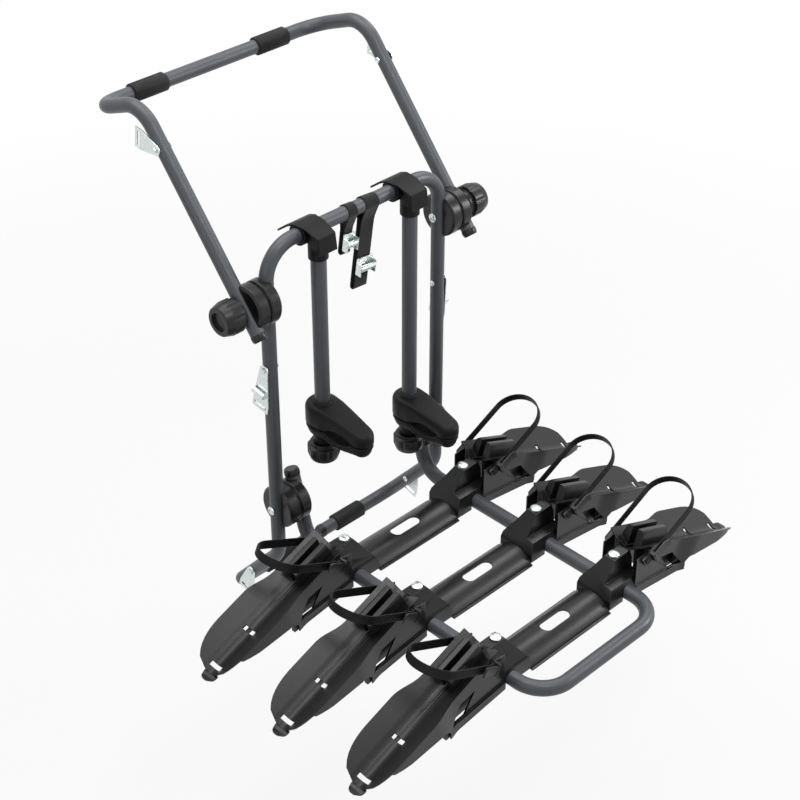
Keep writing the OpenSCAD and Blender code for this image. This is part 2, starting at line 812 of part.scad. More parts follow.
// Half width of the holder at the distance u along the groove: a neck between the rails, wide wings
// and a blunt tip
function plan_half(u) = let (k = u / holder_len)
    k < 0.34 ? neck_w
    : k < 0.54 ? neck_w + (holder_w - neck_w) * (1 - cos(180 * (k - 0.34) / 0.2)) / 2
    : k < 0.72 ? holder_w
    : tip_w + (holder_w - tip_w) * sqrt(max(0, 1 - pow((k - 0.72) / 0.28, 2.4)));

neck_w = bridge_w / 2;
neck_back = 12;
tip_w = groove_w * 0.6;
plan_steps = 32;
function plan_side(inset, spare) = concat(
    [[-neck_back - spare, neck_w - inset]],
    [for (i = [0 : plan_steps]) let (u = holder_len * i / plan_steps) [u, plan_half(u) - inset]],
    spare > 0 ? [[holder_len + spare, tip_w - inset]] : []);

// The holder seen from above, in by inset, with spare length at both ends
module holder_plan(inset = 0, spare = 0) {
    side = plan_side(inset, spare);
    polygon(concat(side, [for (i = [len(side) - 1 : -1 : 0]) [side[i][0], -side[i][1]]]));
}

// Height of the trough's upper face at the distance y from its middle: a round groove, then a wing
function trough_z(y) = y < groove_w ? groove_depth * (1 - cos(90 * y / groove_w))
    : groove_depth + (wing_rise - groove_depth) * (y - groove_w) / (holder_w - groove_w);

groove_depth = 11;
trough_steps = 14;
trough_half = holder_w + over;
function trough_line(drop) = [for (i = [-trough_steps : trough_steps])
    let (y = trough_half * i / trough_steps) [y, trough_z(abs(y)) - drop]];

module trough_section() {
    under = trough_line(mould_t);
    polygon(concat(trough_line(0), [for (i = [len(under) - 1 : -1 : 0]) under[i]]));
}

// Frame of the holder: X along the groove outwards and down, Z square to the groove
module holder_frame() {
    translate([groove_x, 0, groove_z]) rotate([0, holder_drop, 0]) children();
}

module trough() {
    slot = [9, 30];
    lip_r = 17;
    holder_frame() difference() {
        intersection() {
            rotate([90, 0, 90]) linear_extrude(holder_len) trough_section();
            translate([0, 0, -mould_t - over]) linear_extrude(wing_rise + mould_t + 4 * over) holder_plan();
        }
        for (k = [0.68, 0.95]) translate([holder_len * k - slot[0] / 2, -slot[1] / 2, -mould_t - over])
            cube([slot[0], slot[1], mould_t + 6 * over]);
    }
    holder_frame() translate([holder_len, 0, 0]) intersection() {
        side_slab(2 * lip_r, 0) polygon([[-4, -mould_t], [-4, 0], [7, 0], [15, 5], [17, 2], [9, -mould_t]]);
        translate([0, 0, -lip_r]) cylinder(r = lip_r, h = 2 * lip_r);
    }
}

// Two blocks at the neck, which leave a narrow slot for a tyre between them
block_in = 6;
block_w = 14;
block_h = 41;
block_start = 19;
block_len = 84;

module neck_blocks() {
    edge = 4;
    holder_frame() translate([block_start, 0, 0]) for (m = [0, 1]) mirror([0, m, 0])
        rotate([90, 0, 90]) linear_extrude(block_len) polygon([
            [block_in, -mould_t / 2], [block_in, block_h], [block_in + block_w - edge, block_h],
            [block_in + block_w, block_h - edge], [block_in + block_w + edge, block_h / 2],
            [block_in + block_w + edge, groove_depth]]);
}

// A skirt hangs from the wings' rims: deep at the neck, with a window on each side, and gone at the tip
rail_foot_x = groove_x + 144;
rail_h = 17;
skirt_x = deck_out - 14;
foot_drop = 46;
foot_z = groove_at(rail_foot_x) - foot_drop;
skirt_outline = [
    [skirt_x, bracket_foot + 1], [skirt_x, deck_z - 1], [bracket_out, deck_z + 1],
    [bracket_out + 40, groove_at(bracket_out + 40) + wing_rise],
    [tray_half, groove_at(tray_half) + 2 * wing_rise], [tray_half - 40, groove_at(tray_half - 40) + 20],
    [tray_half - 80, groove_at(tray_half - 80) + 5], [rail_foot_x + 6, groove_at(rail_foot_x + 6) - 18],
    [rail_foot_x - 8, foot_z + rail_h], [rail_foot_x - 8, foot_z + 1]];
window_outline = [
    [bracket_out + 31, bracket_foot + 11], [bracket_out + 56, groove_at(bracket_out + 56) - 11],
    [bracket_out + 93, groove_at(bracket_out + 93) - 5], [rail_foot_x - 15, foot_z + rail_h + 3]];

// The skirt's wall is a little thinner than the bracket's, and a rail a little thicker than both
skirt_t = mould_t - 0.6;
rail_t = 2 * mould_t + 1.2;

module skirt() {
    reach = 2 * holder_w;
    difference() {
        intersection() {
            holder_frame() translate([0, 0, -reach]) linear_extrude(2 * reach) difference() {
                holder_plan();
                holder_plan(skirt_t, over);
            }
            holder_frame() end_slab(-neck_back - over, holder_len + neck_back + 2 * over)
                polygon(concat(trough_line(mould_t / 2), [[trough_half, -reach], [-trough_half, -reach]]));
            side_slab(2 * reach, 0) polygon(skirt_outline);
        }
        side_slab(2 * reach, 0) polygon(window_outline);
    }
}

// Rails along the skirt's foot, webs behind its windows, a wall across, and two ribs under the groove
web_y = 24;
rib_in = 10;
module holder_rails() {
    wall_x = rail_foot_x - 14;
    for (m = sides) {
        side_slab(rail_t, m * bridge_w / 2) polygon([
            [skirt_x, bracket_foot], [skirt_x, bracket_foot + rail_h],
            [rail_foot_x, foot_z + rail_h], [rail_foot_x, foot_z]]);
        side_slab(mould_t, m * web_y) polygon([
            [groove_x + 3, bracket_foot + 4], [groove_x + 3, groove_at(groove_x + 3) + 10.5],
            [wall_x + 1, groove_at(wall_x + 1) + 10.5], [wall_x + 1, foot_z + 5]]);
        side_slab(mould_t - 1, m * rib_in) polygon([
            [wall_x + 1, groove_at(wall_x + 1) - 2], [tray_half - 70, groove_at(tray_half - 70) - 2],
            [tray_half - 84, groove_at(tray_half - 84) - 12], [wall_x + 1, groove_at(wall_x + 1) - 26]]);
    }
    translate([wall_x, mould_t / 2 - bridge_w / 2, foot_z + 2])
        cube([mould_t, bridge_w - mould_t, foot_drop - 8]);
}

tray_bolt_r = 4;
boss_r = 9;
rib_y = bridge_w / 2 - 16;
rib_t = 6;

module bracket_form(t) {
    intersection() {
        side_slab(2 * bridge_w, 0) polygon(bracket_outline(t));
        end_slab(bracket_in - over, bracket_out - bracket_in + 2 * over) polygon(bracket_section(t));
    }
}

module bracket() {
    difference() {
        union() {
            difference() {
                bracket_form(0);
                bracket_form(mould_t);
            }
            intersection() {
                bracket_form(mould_t / 2);
                union() {
                    for (m = sides) side_slab(rib_t, m * rib_y) polygon(bracket_outline(0));
                }
            }
            translate([platform_x, 0, platform_z]) cylinder(r = boss_r, h = deck_z - platform_z - 1);
        }
        translate([platform_x, bridge_w, platform_z]) rotate([90, 0, 0])
            cylinder(r = plat_r + seat_gap, h = 2 * bridge_w);
        translate([platform_x - plat_r - seat_gap, -bridge_w, bracket_foot - over])
            cube([platform_d + 2 * seat_gap, 2 * bridge_w, platform_z - bracket_foot + over]);
        translate([platform_x, 0, 0]) cylinder(r = tray_bolt_r + seat_gap, h = 2 * deck_z);
    }
}

module wheel_holder(i, s) {
    color("#1b1b1b") place(s) translate([0, tray_y(i), 0]) {
        mirror([0, s > 0 ? 0 : 1, 0]) bracket();
        trough();
        neck_blocks();
        skirt();
        holder_rails();
    }
}

module tray_bolts() {
    head_h = 7;
    foot = platform_z + plat_r + seat_gap;
    color("silver") for (i = trays) both() translate([platform_x, tray_y(i), 0]) {
        translate([0, 0, foot]) cylinder(r = tray_bolt_r, h = deck_z - foot + lap);
        translate([0, 0, deck_z]) rotate_extrude() intersection() {
            translate([0, head_h - tray_bolt_d]) circle(tray_bolt_d);
            square([tray_bolt_d / 2, head_h]);
        }
    }
}

// Wheel straps and ratchets

strap_x = bracket_out - 2;
strap_z = deck_z - 12;
base_t = 7;
strap_y = bridge_w / 2 + base_t + wheel_strap_t + 2 * seat_gap;

// Frame of a strap: X outwards along the strap's plane, Z square to the plane
module strap_frame(i) {
    translate([strap_x, tray_y(i), strap_z]) rotate([0, -wheel_strap_rise, 0]) children();
}

// A strap is a long loop: two straight runs joined by a half round
module wheel_straps(i) {
    inner = strap_y - wheel_strap_t;
    color("#101010") both() strap_frame(i) translate([0, 0, -wheel_strap_w / 2])
        linear_extrude(wheel_strap_w) difference() {
            union() {
                translate([0, -strap_y]) square([wheel_strap_run, 2 * strap_y]);
                translate([wheel_strap_run, 0]) circle(strap_y);
            }
            translate([-over, -inner]) square([wheel_strap_run + over, 2 * inner]);
            translate([wheel_strap_run, 0]) circle(inner);
        }
}

base_len = 32;
base_in = bridge_w / 2 + seat_gap;
ear_t = 2.5;
ear_z = wheel_strap_w / 2 + seat_gap;
pin_r = 2;
knuckle_r = 4;
lever_t = 4;
// The lever's pin lies across the strap, outside it
pin_x = base_len * 0.6;
pin_y = strap_y + 2 * run_gap + knuckle_r;

// Blocks between the rails and the strap's ends: a plain one behind, a ratchet with ears and a pin in front
module ratchet_bases() {
    color("#121212") for (i = trays) both() strap_frame(i) {
        for (m = sides) translate([-4, m > 0 ? base_in : -base_in - base_t, -wheel_strap_w / 2])
            cube([base_len, base_t, wheel_strap_w]);
        for (m = sides) translate([0, 0, m > 0 ? ear_z : -ear_z - ear_t]) linear_extrude(ear_t) {
            translate([pin_x, -pin_y]) circle(knuckle_r);
            translate([pin_x - knuckle_r, -pin_y]) square([2 * knuckle_r, pin_y - base_in]);
        }
        for (m = sides) translate([pin_x - knuckle_r, -base_in - base_t, m > 0 ? 0 : -ear_z - ear_t / 2])
            cube([2 * knuckle_r, base_t, ear_z + ear_t / 2]);
        translate([pin_x, -pin_y, -ear_z - ear_t / 2]) cylinder(r = pin_r, h = 2 * ear_z + ear_t);
    }
}

// The lever over the strap's front end: it turns on the pin and lifts away from the strap
module ratchet_lever(i, s) {
    w = wheel_strap_w - 2 * run_gap;
    color("#181818") place(s) strap_frame(i) translate([pin_x, -pin_y, -w / 2]) difference() {
        linear_extrude(w) {
            circle(knuckle_r);
            translate([0, -lever_t / 2]) square([lever_len - 8, lever_t]);
            translate([lever_len - 9, -lever_t / 2]) rotate(-25) square([10, lever_t]);
        }
        translate([0, 0, -over]) cylinder(r = pin_r + run_gap / 2, h = w + 2 * over);
    }
}

// Strap plates and buckles

// A flat plate drawn with its bolt at the origin and its slot end along -Y, extruded along Z
module strap_plate(len, w) {
    eye_r = 11;
    slot_h = 6;
    end_h = 18;
    slot_up = 10;
    linear_extrude(plate_t) difference() {
        union() {
            circle(eye_r);
            polygon([[-eye_r, 0], [-w / 2, end_h - len], [-w / 2, -len], [w / 2, -len],
                     [w / 2, end_h - len], [eye_r, 0]]);
        }
        circle(plate_bolt_r + seat_gap);
        translate([0, slot_up - len]) square([plate_slot, slot_h], center = true);
    }
}

// A plate's bolt through its tube: a round head inside, the plate and a nut outside
module plate_bolt(p, nut_x) {
    head_x = p[0] - main_r;
    translate([0, p[1], p[2]]) {
        rod_x(head_x, nut_x + plate_head_h - 0.5, plate_bolt_r);
        translate([head_x, 0, 0]) mirror([1, 0, 0]) button_head(plate_head_r, plate_head_h);
        translate([nut_x, 0, 0]) rotate([0, 90, 0]) cylinder(r = plate_head_r, h = plate_head_h, $fn = 6);
    }
}

// Places a plate on the outside of a tube at p, hanging along the angle a from straight down
module on_tube(p, a) {
    translate([p[0] + main_r + seat_gap, p[1], p[2]]) rotate([a, 0, 0]) rotate([90, 0, 90]) children();
}

// A cam between two cheeks that stand on a plate, at the distance d under the plate's bolt
module plate_cam(d) {
    cam_r = 6;
    cheek_t = 2;
    cam_w = plate_slot + cheek_t;
    cam_z = plate_t + seat_gap + cam_r;
    for (s = sides) translate([s * (cam_w - cheek_t) / 2 - cheek_t / 2, -d - cam_r, 0])
        cube([cheek_t, 2 * cam_r, cam_z]);
    rod_x((cheek_t - cam_w) / 2, (cam_w - cheek_t) / 2, cam_r, -d, cam_z);
}

nut_at = main_r + 2 * seat_gap + plate_t;
// Angles of the plates from straight down, and the drop of the cam on a leg plate
arm_plate_turn = 98;
leg_plate_turn = 10;
foot_plate_turn = 18;
cam_drop = 52;

module arm_strap_plates() {
    color("silver") both() {
        on_tube(arm_plate_bolt, arm_plate_turn) strap_plate(arm_plate_len, plate_w);
        plate_bolt(arm_plate_bolt, arm_plate_bolt[0] + nut_at);
    }
}

module frame_strap_plates() {
    color("silver") both() {
        on_tube(leg_plate_bolt, leg_plate_turn) {
            strap_plate(leg_plate_len, plate_w);
            plate_cam(cam_drop);
        }
        plate_bolt(leg_plate_bolt, leg_plate_bolt[0] + nut_at);
        on_tube(foot_plate_bolt, foot_plate_turn) strap_plate(foot_plate_len, plate_w);
        plate_bolt(foot_plate_bolt, foot_plate_bolt[0] + nut_at);
    }
}

// Webbing over the crossbar: a band that closes round the bar and hangs down in a long loop

// Heights of the buckles' feet over the loops' lower ends
short_buckle_up = 16;
long_buckle_up = 40;
short_web_x = -17;
long_web_x = 32;
web_r = main_r + 1.6;
// The loops hang a little towards the car and to the left
web_sway = [4.6, 4.3, 0];
loop_r = 6;

// Profile of a hanging loop, Y right and Z up from the crossbar's axis, with the drop d, drawn in by inset
module web_outline(d, inset) {
    r = web_r + web_t - inset;
    tail = loop_r + web_t - inset;
    shoulder = r * sin(30);
    neck_z = -main_d * 1.2;
    loop_z = -d + loop_r + web_t;
    circle(r);
    polygon([[-r * cos(30), -shoulder], [-tail, neck_z], [-tail, loop_z], [tail, loop_z], [tail, neck_z],
             [r * cos(30), -shoulder]]);
    translate([0, loop_z]) circle(tail);
}

module web_profile(d) {
    difference() {
        web_outline(d, 0);
        web_outline(d, web_t);
    }
}

module webbing(x, w, d) {
    translate([x, leg_y, crossbar_z]) rotate(web_sway) end_slab(-w / 2, w) web_profile(d);
}

module short_webbing() {
    color("#0d0d0d") webbing(short_web_x, short_web_w, short_drop);
}

module long_webbing() {
    color("#0d0d0d") webbing(long_web_x, long_web_w, long_drop);
}

// Cam buckles on the front run of both loops: a base plate, two cheeks and a cam
module web_buckle(x, w, drop) {
    cheek_t = 2;
    cheek_h = 26;
    buckle_h = 34;
    depth = 14;
    half = w / 2 + 3;
    cam_r = 5;
    cam_set = 10;
    translate([x, leg_y, crossbar_z]) rotate(web_sway) translate([0, -loop_r - web_t - seat_gap, -drop]) {
        translate([-half, -plate_t, 0]) cube([2 * half, plate_t, buckle_h]);
        for (s = sides) translate([s * (half - cheek_t / 2) - cheek_t / 2, -depth, 0])
            cube([cheek_t, depth - plate_t + lap, cheek_h]);
        rod_x(cheek_t / 2 - half, half - cheek_t / 2, cam_r, -cam_set, cheek_h * 0.6);
    }
}

module webbing_buckles() {
    color("silver") {
        web_buckle(short_web_x, short_web_w, short_drop - short_buckle_up);
        web_buckle(long_web_x, long_web_w, long_drop - long_buckle_up);
    }
}

main_frame();
foot_sleeves();
foot_caps();
upper_frame();
lid_sleeves();
upper_frame_caps();
platform_frame();
platform_caps();
upper_leg_drums();
upper_arm_drums();
lower_leg_drums();
lower_platform_drums();
upper_hinge_bolts();
lower_hinge_bolts();
for (s = sides) {
    hinge_knob(s);
    bar_clamp(s);
    bar_clamp_cover(s);
    hanger_tube(s);
    upper_jaw(s);
    upper_pad(s);
    jaw_bolt(s);
    lower_jaw(s);
    lower_pad(s);
    jaw_knob(s);
}
for (i = trays) {
    tray_bridge(i);
    wheel_straps(i);
    for (s = sides) {
        wheel_holder(i, s);
        ratchet_lever(i, s);
    }
}
tray_bolts();
ratchet_bases();
arm_strap_plates();
frame_strap_plates();
short_webbing();
long_webbing();
webbing_buckles();
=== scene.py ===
"""Finishes, straps, webbing and studio stage for a bike rack that hangs on a car's tailgate.

The rack's own frame is loaded first. Every piece here sits in the same frame, in metres, and
rides on one of the rack's bodies.
"""

import json
import math

import bmesh
import bpy
from bpy.props import FloatProperty, FloatVectorProperty, IntProperty, PointerProperty
from mathutils import Matrix, Vector

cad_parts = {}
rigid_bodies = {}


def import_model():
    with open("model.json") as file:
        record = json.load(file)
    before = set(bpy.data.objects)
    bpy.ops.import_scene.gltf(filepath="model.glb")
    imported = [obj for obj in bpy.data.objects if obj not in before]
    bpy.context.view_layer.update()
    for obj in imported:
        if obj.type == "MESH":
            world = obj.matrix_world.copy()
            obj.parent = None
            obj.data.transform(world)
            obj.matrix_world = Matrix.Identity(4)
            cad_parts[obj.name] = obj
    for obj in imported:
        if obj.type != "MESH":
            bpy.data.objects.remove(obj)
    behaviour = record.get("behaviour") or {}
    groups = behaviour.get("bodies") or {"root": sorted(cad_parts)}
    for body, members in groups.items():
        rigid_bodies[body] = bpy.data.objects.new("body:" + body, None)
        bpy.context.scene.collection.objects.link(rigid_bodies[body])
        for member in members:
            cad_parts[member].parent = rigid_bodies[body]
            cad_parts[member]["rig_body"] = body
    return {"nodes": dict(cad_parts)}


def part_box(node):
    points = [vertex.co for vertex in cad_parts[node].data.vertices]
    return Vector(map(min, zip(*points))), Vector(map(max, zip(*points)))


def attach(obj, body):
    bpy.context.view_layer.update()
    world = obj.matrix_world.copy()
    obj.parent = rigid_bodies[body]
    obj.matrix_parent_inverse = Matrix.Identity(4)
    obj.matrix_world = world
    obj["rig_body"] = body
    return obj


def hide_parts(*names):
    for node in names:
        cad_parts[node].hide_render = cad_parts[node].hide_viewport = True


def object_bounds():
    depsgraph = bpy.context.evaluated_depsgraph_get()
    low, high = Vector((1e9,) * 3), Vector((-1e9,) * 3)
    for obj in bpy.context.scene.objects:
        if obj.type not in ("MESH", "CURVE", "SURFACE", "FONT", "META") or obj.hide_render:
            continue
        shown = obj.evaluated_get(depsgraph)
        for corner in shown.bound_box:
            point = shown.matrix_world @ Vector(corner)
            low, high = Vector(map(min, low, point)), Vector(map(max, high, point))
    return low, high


bl_info = {
    "name": "Tailgate Bike Rack",
    "version": (1, 0, 0),
    "blender": (4, 5, 0),
    "location": "View3D > Sidebar > Bike Rack",
    "description": "Dresses a bike rack's frame with its finishes, straps, webbing and stage",
    "category": "Object",
}

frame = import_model()
CAD_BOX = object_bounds()
SIDES = ("left", "right")
TRAYS = (1, 2, 3)

# Where the straps, sleeves and webbing sit on the frame
LEG_Y = -0.148
CROSSBAR_Z = 0.859
TUBE_R = 0.014
SLEEVE_LENGTH = 0.080
TRAY_Y = {1: -0.280, 2: -0.480, 3: -0.680}
STRAP_ORIGIN = Vector((0.205, 0.0, 0.236))
STRAP_RISE = math.radians(26.0)
STRAP_HALF = 0.0523
STRAP_START = 0.001

# Rings of hinge teeth: level, distance from the rack's middle plane and height
HINGES = (("upper", 0.24595, 0.758), ("lower", 0.19505, 0.281))
TEETH_R = 0.0402
TOOTH = (0.0016, 0.0014, 0.0016)

# Loops of webbing: name, place along the crossbar, width and drop
WEB_LOOPS = (("short_webbing", -0.017, 0.022, 0.092), ("long_webbing", 0.032, 0.034, 0.186))
WEB_SWAY = (math.radians(4.6), math.radians(4.3))
WEB_OVER = 0.0156
WEB_TAIL = 0.0060
WEB_NECK = -0.0336
STITCH_ROWS = (0.030, 0.042)
STITCH_Y = -0.0081
STITCH = (0.0020, 0.0005, 0.0005)

# Plan of a clamp head round its hanger's axis, the mouth between its jaws, its collar and its boss
HEEL_R = 0.034
NOSE_R = 0.023
NOSE_Y = -0.108
FALL_Y = -0.023
FALL = 0.020
MOUTH_R = 0.062
MOUTH_Y = -0.0655
MOUTH_DEPTH = 0.015
PAD_T = 0.004
PAD_RIB = (0.0022, 0.034, 0.0012)
PAD_RIB_PITCH = 0.005
COLLAR_H = 0.005
BOSS_H = 0.020
SHOULDER_IN = 0.008
SHOULDER_DROP = 0.0105
RIM_IN = 0.003
RIM_H = 0.0064
BELLY_IN = 0.013

# The studio: the floor lies far enough down for a tilted platform, and fades out to the background.
# A lamp is its name, place, width, height and power.
TILT_ROOM = 0.35
FLOOR_REACH = 14.0
FLOOR_FADE = (1.2, 3.0)
FLOOR_WHITE = 0.86
SKY_LIGHT = 0.14
LAMP_AIM = Vector((0.0, -0.3, 0.5))
LAMPS = (
    ("top_softbox", (-0.2, 0.5, 3.2), 2.2, 2.6, 56.0),
    ("front_softbox", (-0.4, -1.6, 2.8), 0.9, 0.8, 18.0),
    ("side_softbox", (1.9, 0.2, 2.6), 1.0, 1.0, 16.0),
    ("key_softbox", (2.6, -2.2, 1.8), 0.7, 1.1, 52.0),
    ("fill_softbox", (-2.8, -0.8, 1.4), 1.2, 1.2, 5.0),
)
CAMERA_TURN = math.radians(-44.716)
CAMERA_RISE = math.radians(34.668)
CAMERA_PLACE = Vector((-2.0089, -2.2949, 2.4615))
CAMERA_LENS = 81.29

TUBES = ("main_frame", "upper_frame", "platform_frame", "hanger_tube_left", "hanger_tube_right")
HARDWARE = (
    "upper_hinge_bolts", "lower_hinge_bolts", "tray_bolts", "jaw_bolt_left", "jaw_bolt_right",
    "arm_strap_plates", "frame_strap_plates", "webbing_buckles",
)
DRUMS = ("upper_leg_drums", "upper_arm_drums", "lower_leg_drums", "lower_platform_drums")
CAPS = ("foot_caps", "upper_frame_caps", "platform_caps")


class RackFinishes(bpy.types.PropertyGroup):
    """Colours of the rack's finishes."""

    tube: FloatVectorProperty(
        name="Tube coat", description="Slate grey powder coat of the tubes",
        subtype="COLOR", size=3, min=0.0, max=1.0, default=(0.068, 0.074, 0.084),
    )
    mould: FloatVectorProperty(
        name="Moulding", description="Black of the moulded pieces",
        subtype="COLOR", size=3, min=0.0, max=1.0, default=(0.0075, 0.0075, 0.008),
    )
    rubber: FloatVectorProperty(
        name="Rubber", description="Black of the sleeves and the jaw pads",
        subtype="COLOR", size=3, min=0.0, max=1.0, default=(0.011, 0.011, 0.012),
    )
    strap: FloatVectorProperty(
        name="Wheel strap", description="Black of the ribbed wheel straps",
        subtype="COLOR", size=3, min=0.0, max=1.0, default=(0.005, 0.005, 0.005),
    )
    web: FloatVectorProperty(
        name="Webbing", description="Black of the woven webbing",
        subtype="COLOR", size=3, min=0.0, max=1.0, default=(0.006, 0.006, 0.0065),
    )
    zinc: FloatVectorProperty(
        name="Zinc", description="Bright zinc plate of plates and bolts",
        subtype="COLOR", size=3, min=0.0, max=1.0, default=(0.66, 0.71, 0.70),
    )


class RackSizes(bpy.types.PropertyGroup):
    """Sizes of the details that dress the frame."""

    mould_edge: FloatProperty(
        name="Moulding edge", description="Edge radius of the moulded pieces",
        unit="LENGTH", min=0.0, max=0.003, default=0.0008, precision=4,
    )
    metal_edge: FloatProperty(
        name="Metal edge", description="Edge radius of plates and bolts",
        unit="LENGTH", min=0.0, max=0.002, default=0.0004, precision=4,
    )
    strap_width: FloatProperty(
        name="Strap width", description="Width of a wheel strap",
        unit="LENGTH", min=0.010, max=0.030, default=0.018, precision=4,
    )
    strap_run: FloatProperty(
        name="Strap run", description="Straight length of a wheel strap on each side",
        unit="LENGTH", min=0.080, max=0.160, default=0.132, precision=4,
    )
    strap_body: FloatProperty(
        name="Strap body", description="Thickness of a wheel strap under its ribs",
        unit="LENGTH", min=0.001, max=0.003, default=0.0021, precision=4,
    )
    rib_height: FloatProperty(
        name="Rib height", description="Height of the ribs on a wheel strap",
        unit="LENGTH", min=0.0002, max=0.0015, default=0.0009, precision=4,
    )
    rib_pitch: FloatProperty(
        name="Rib pitch", description="Distance between the ribs on a wheel strap",
        unit="LENGTH", min=0.002, max=0.008, default=0.0040, precision=4,
    )
    web_thickness: FloatProperty(
        name="Webbing thickness", description="Thickness of the webbing",
        unit="LENGTH", min=0.001, max=0.003, default=0.0018, precision=4,
    )
    stitch_pitch: FloatProperty(
        name="Stitch pitch", description="Distance between the stitches in the webbing",
        unit="LENGTH", min=0.002, max=0.006, default=0.0032, precision=4,
    )
    tooth_count: IntProperty(
        name="Hinge teeth", description="Teeth round each drum hinge",
        min=24, max=120, default=72,
    )


# Meshes


def add_piece(name, mesh, finish, body, replaces=()):
    """Links a finished mesh as a piece that rides on a body and stands for some nodes."""
    mesh.materials.clear()
    mesh.materials.append(finish)
    piece = bpy.data.objects.new(name, mesh)
    bpy.context.scene.collection.objects.link(piece)
    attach(piece, body)
    if replaces:
        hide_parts(*replaces)
    return piece


def evaluated_mesh(piece):
    """The mesh of an object with its modifiers applied; the object itself is removed."""
    graph = bpy.context.evaluated_depsgraph_get()
    mesh = bpy.data.meshes.new_from_object(piece.evaluated_get(graph), depsgraph=graph)
    bpy.data.objects.remove(piece)
    return mesh


def smooth(mesh, angle=34.0):
    """Shades a mesh smooth between its sharp edges."""
    mesh.polygons.foreach_set("use_smooth", [True] * len(mesh.polygons))
    mesh.set_sharp_from_angle(angle=math.radians(angle))
    return mesh


def made_mesh(name, shell):
    """A mesh of what was built in a bmesh, which is freed."""
    mesh = bpy.data.meshes.new(name)
    shell.to_mesh(mesh)
    shell.free()
    return mesh


def outward_mesh(name, shell):
    """The mesh of a closed bmesh, with its faces turned outwards."""
    bmesh.ops.recalc_face_normals(shell, faces=shell.faces[:])
    return made_mesh(name, shell)


def skin(shell, rings, closed=False):
    """Joins each ring of points to the next, and the last one to the first where it is closed."""
    count = len(rings[0])
    for here, there in zip(rings, rings[1:] + rings[:1] if closed else rings[1:]):
        for k in range(count):
            after = (k + 1) % count
            shell.faces.new((here[k], here[after], there[after], there[k]))


def joined(name, meshes):
    """One mesh out of several, with their first UV map kept."""
    whole = bmesh.new()
    for mesh in meshes:
        whole.from_mesh(mesh)
    return made_mesh(name, whole)


def node_body(node):
    """Name of the body that a node of the frame belongs to."""
    return frame["nodes"][node]["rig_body"]


def node_shell(node):
    """A merged copy of a node's triangles, with the flat ones joined to whole faces."""
    shell = bmesh.new()
    shell.from_mesh(frame["nodes"][node].data)
    bmesh.ops.remove_doubles(shell, verts=shell.verts[:], dist=2e-6)
    bmesh.ops.dissolve_limit(
        shell, angle_limit=math.radians(0.6), use_dissolve_boundaries=False,
        verts=shell.verts[:], edges=shell.edges[:],
    )
    return shell


def rounded_node(node, edge, finish, angle=36.0):
    """Stands a copy of a node in its place, with its sharp edges rounded."""
    shell = node_shell(node)
    sharp = [
        e for e in shell.edges
        if e.is_manifold and e.calc_face_angle(0.0) > math.radians(angle)
    ]
    bmesh.ops.bevel(
        shell, geom=sharp, offset=edge, offset_type="OFFSET", segments=2, profile=0.5,
        affect="EDGES", clamp_overlap=False,
    )
    low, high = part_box(node)
    spare = edge + 1e-5
    stray = any(
        not low[k] - spare <= v.co[k] <= high[k] + spare for v in shell.verts for k in range(3)
    )
    if stray:
        shell.free()
        shell = node_shell(node)
    mesh = smooth(made_mesh(f"{node}.look", shell), 40.0)
    blank = bpy.data.objects.new(f"{node}.blank", mesh)
    bpy.context.scene.collection.objects.link(blank)
    weighted = blank.modifiers.new("Face normals", "WEIGHTED_NORMAL")
    weighted.keep_sharp = True
    weighted.weight = 80
    mesh = evaluated_mesh(blank)
    return add_piece(f"{node}.look", mesh, finish, node_body(node), (node,))


def swept_band(name, path, across, inner, outer, width, closed=False):
    """A flat band along a planar path. across is its width's direction; the path's outward side
    lies outer beyond it and its inward side inner. U runs along the band and V across it."""
    count = len(path)
    half = width / 2
    soft = min(0.0006, (outer + inner) / 3)
    section = [
        (-half + soft, outer), (half - soft, outer), (half, outer - soft), (half, soft - inner),
        (half - soft, -inner), (-half + soft, -inner), (-half, soft - inner), (-half, outer - soft),
    ]
    girth = [0.0]
    for k in range(len(section)):
        a, b = section[k], section[(k + 1) % len(section)]
        girth.append(girth[-1] + math.hypot(b[0] - a[0], b[1] - a[1]))
    band = bmesh.new()
    maps = band.loops.layers.uv.new("UVMap")
    rings, lengths, run = [], [], 0.0
    for k, point in enumerate(path):
        before = path[k - 1] if k or closed else path[0]
        after = path[(k + 1) % count] if k < count - 1 or closed else path[-1]
        tangent = (after - before).normalized()
        out = tangent.cross(across).normalized()
        if k:
            run += (point - path[k - 1]).length
        lengths.append(run)
        rings.append([band.verts.new(point + across * a + out * b) for a, b in section])
    lengths.append(run + (path[0] - path[-1]).length)
    for k in range(count if closed else count - 1):
        here, there = rings[k], rings[(k + 1) % count]
        for j in range(len(section)):
            j2 = (j + 1) % len(section)
            face = band.faces.new((here[j], here[j2], there[j2], there[j]))
            corners = ((k, j), (k, j + 1), (k + 1, j + 1), (k + 1, j))
            for loop, (a, b) in zip(face.loops, corners):
                loop[maps].uv = (lengths[a], girth[b])
    if not closed:
        band.faces.new(rings[0])
        band.faces.new(list(reversed(rings[-1])))
    return outward_mesh(name, band)


def head_half(inset):
    """Right half of a clamp head's plan, drawn in by inset, from its heel's back to its tip."""
    lean = math.asin((HEEL_R - NOSE_R) / -NOSE_Y)
    heel, nose = HEEL_R - inset, NOSE_R - inset
    turns = [math.pi / 2 - (math.pi / 2 + lean) * k / 20 for k in range(21)]
    half = [(heel * math.cos(t), heel * math.sin(t)) for t in turns]
    tip = [-lean - (math.pi / 2 - lean) * k / 12 for k in range(13)]
    tip = [(nose * math.cos(t), NOSE_Y + nose * math.sin(t)) for t in tip]
    start, end = half[-1], tip[0]
    for k in range(1, 40):
        half.append(tuple(a + (b - a) * k / 40 for a, b in zip(start, end)))
    half += tip
    half[0] = (0.0, heel)
    half[-1] = (0.0, NOSE_Y - nose)
    return half


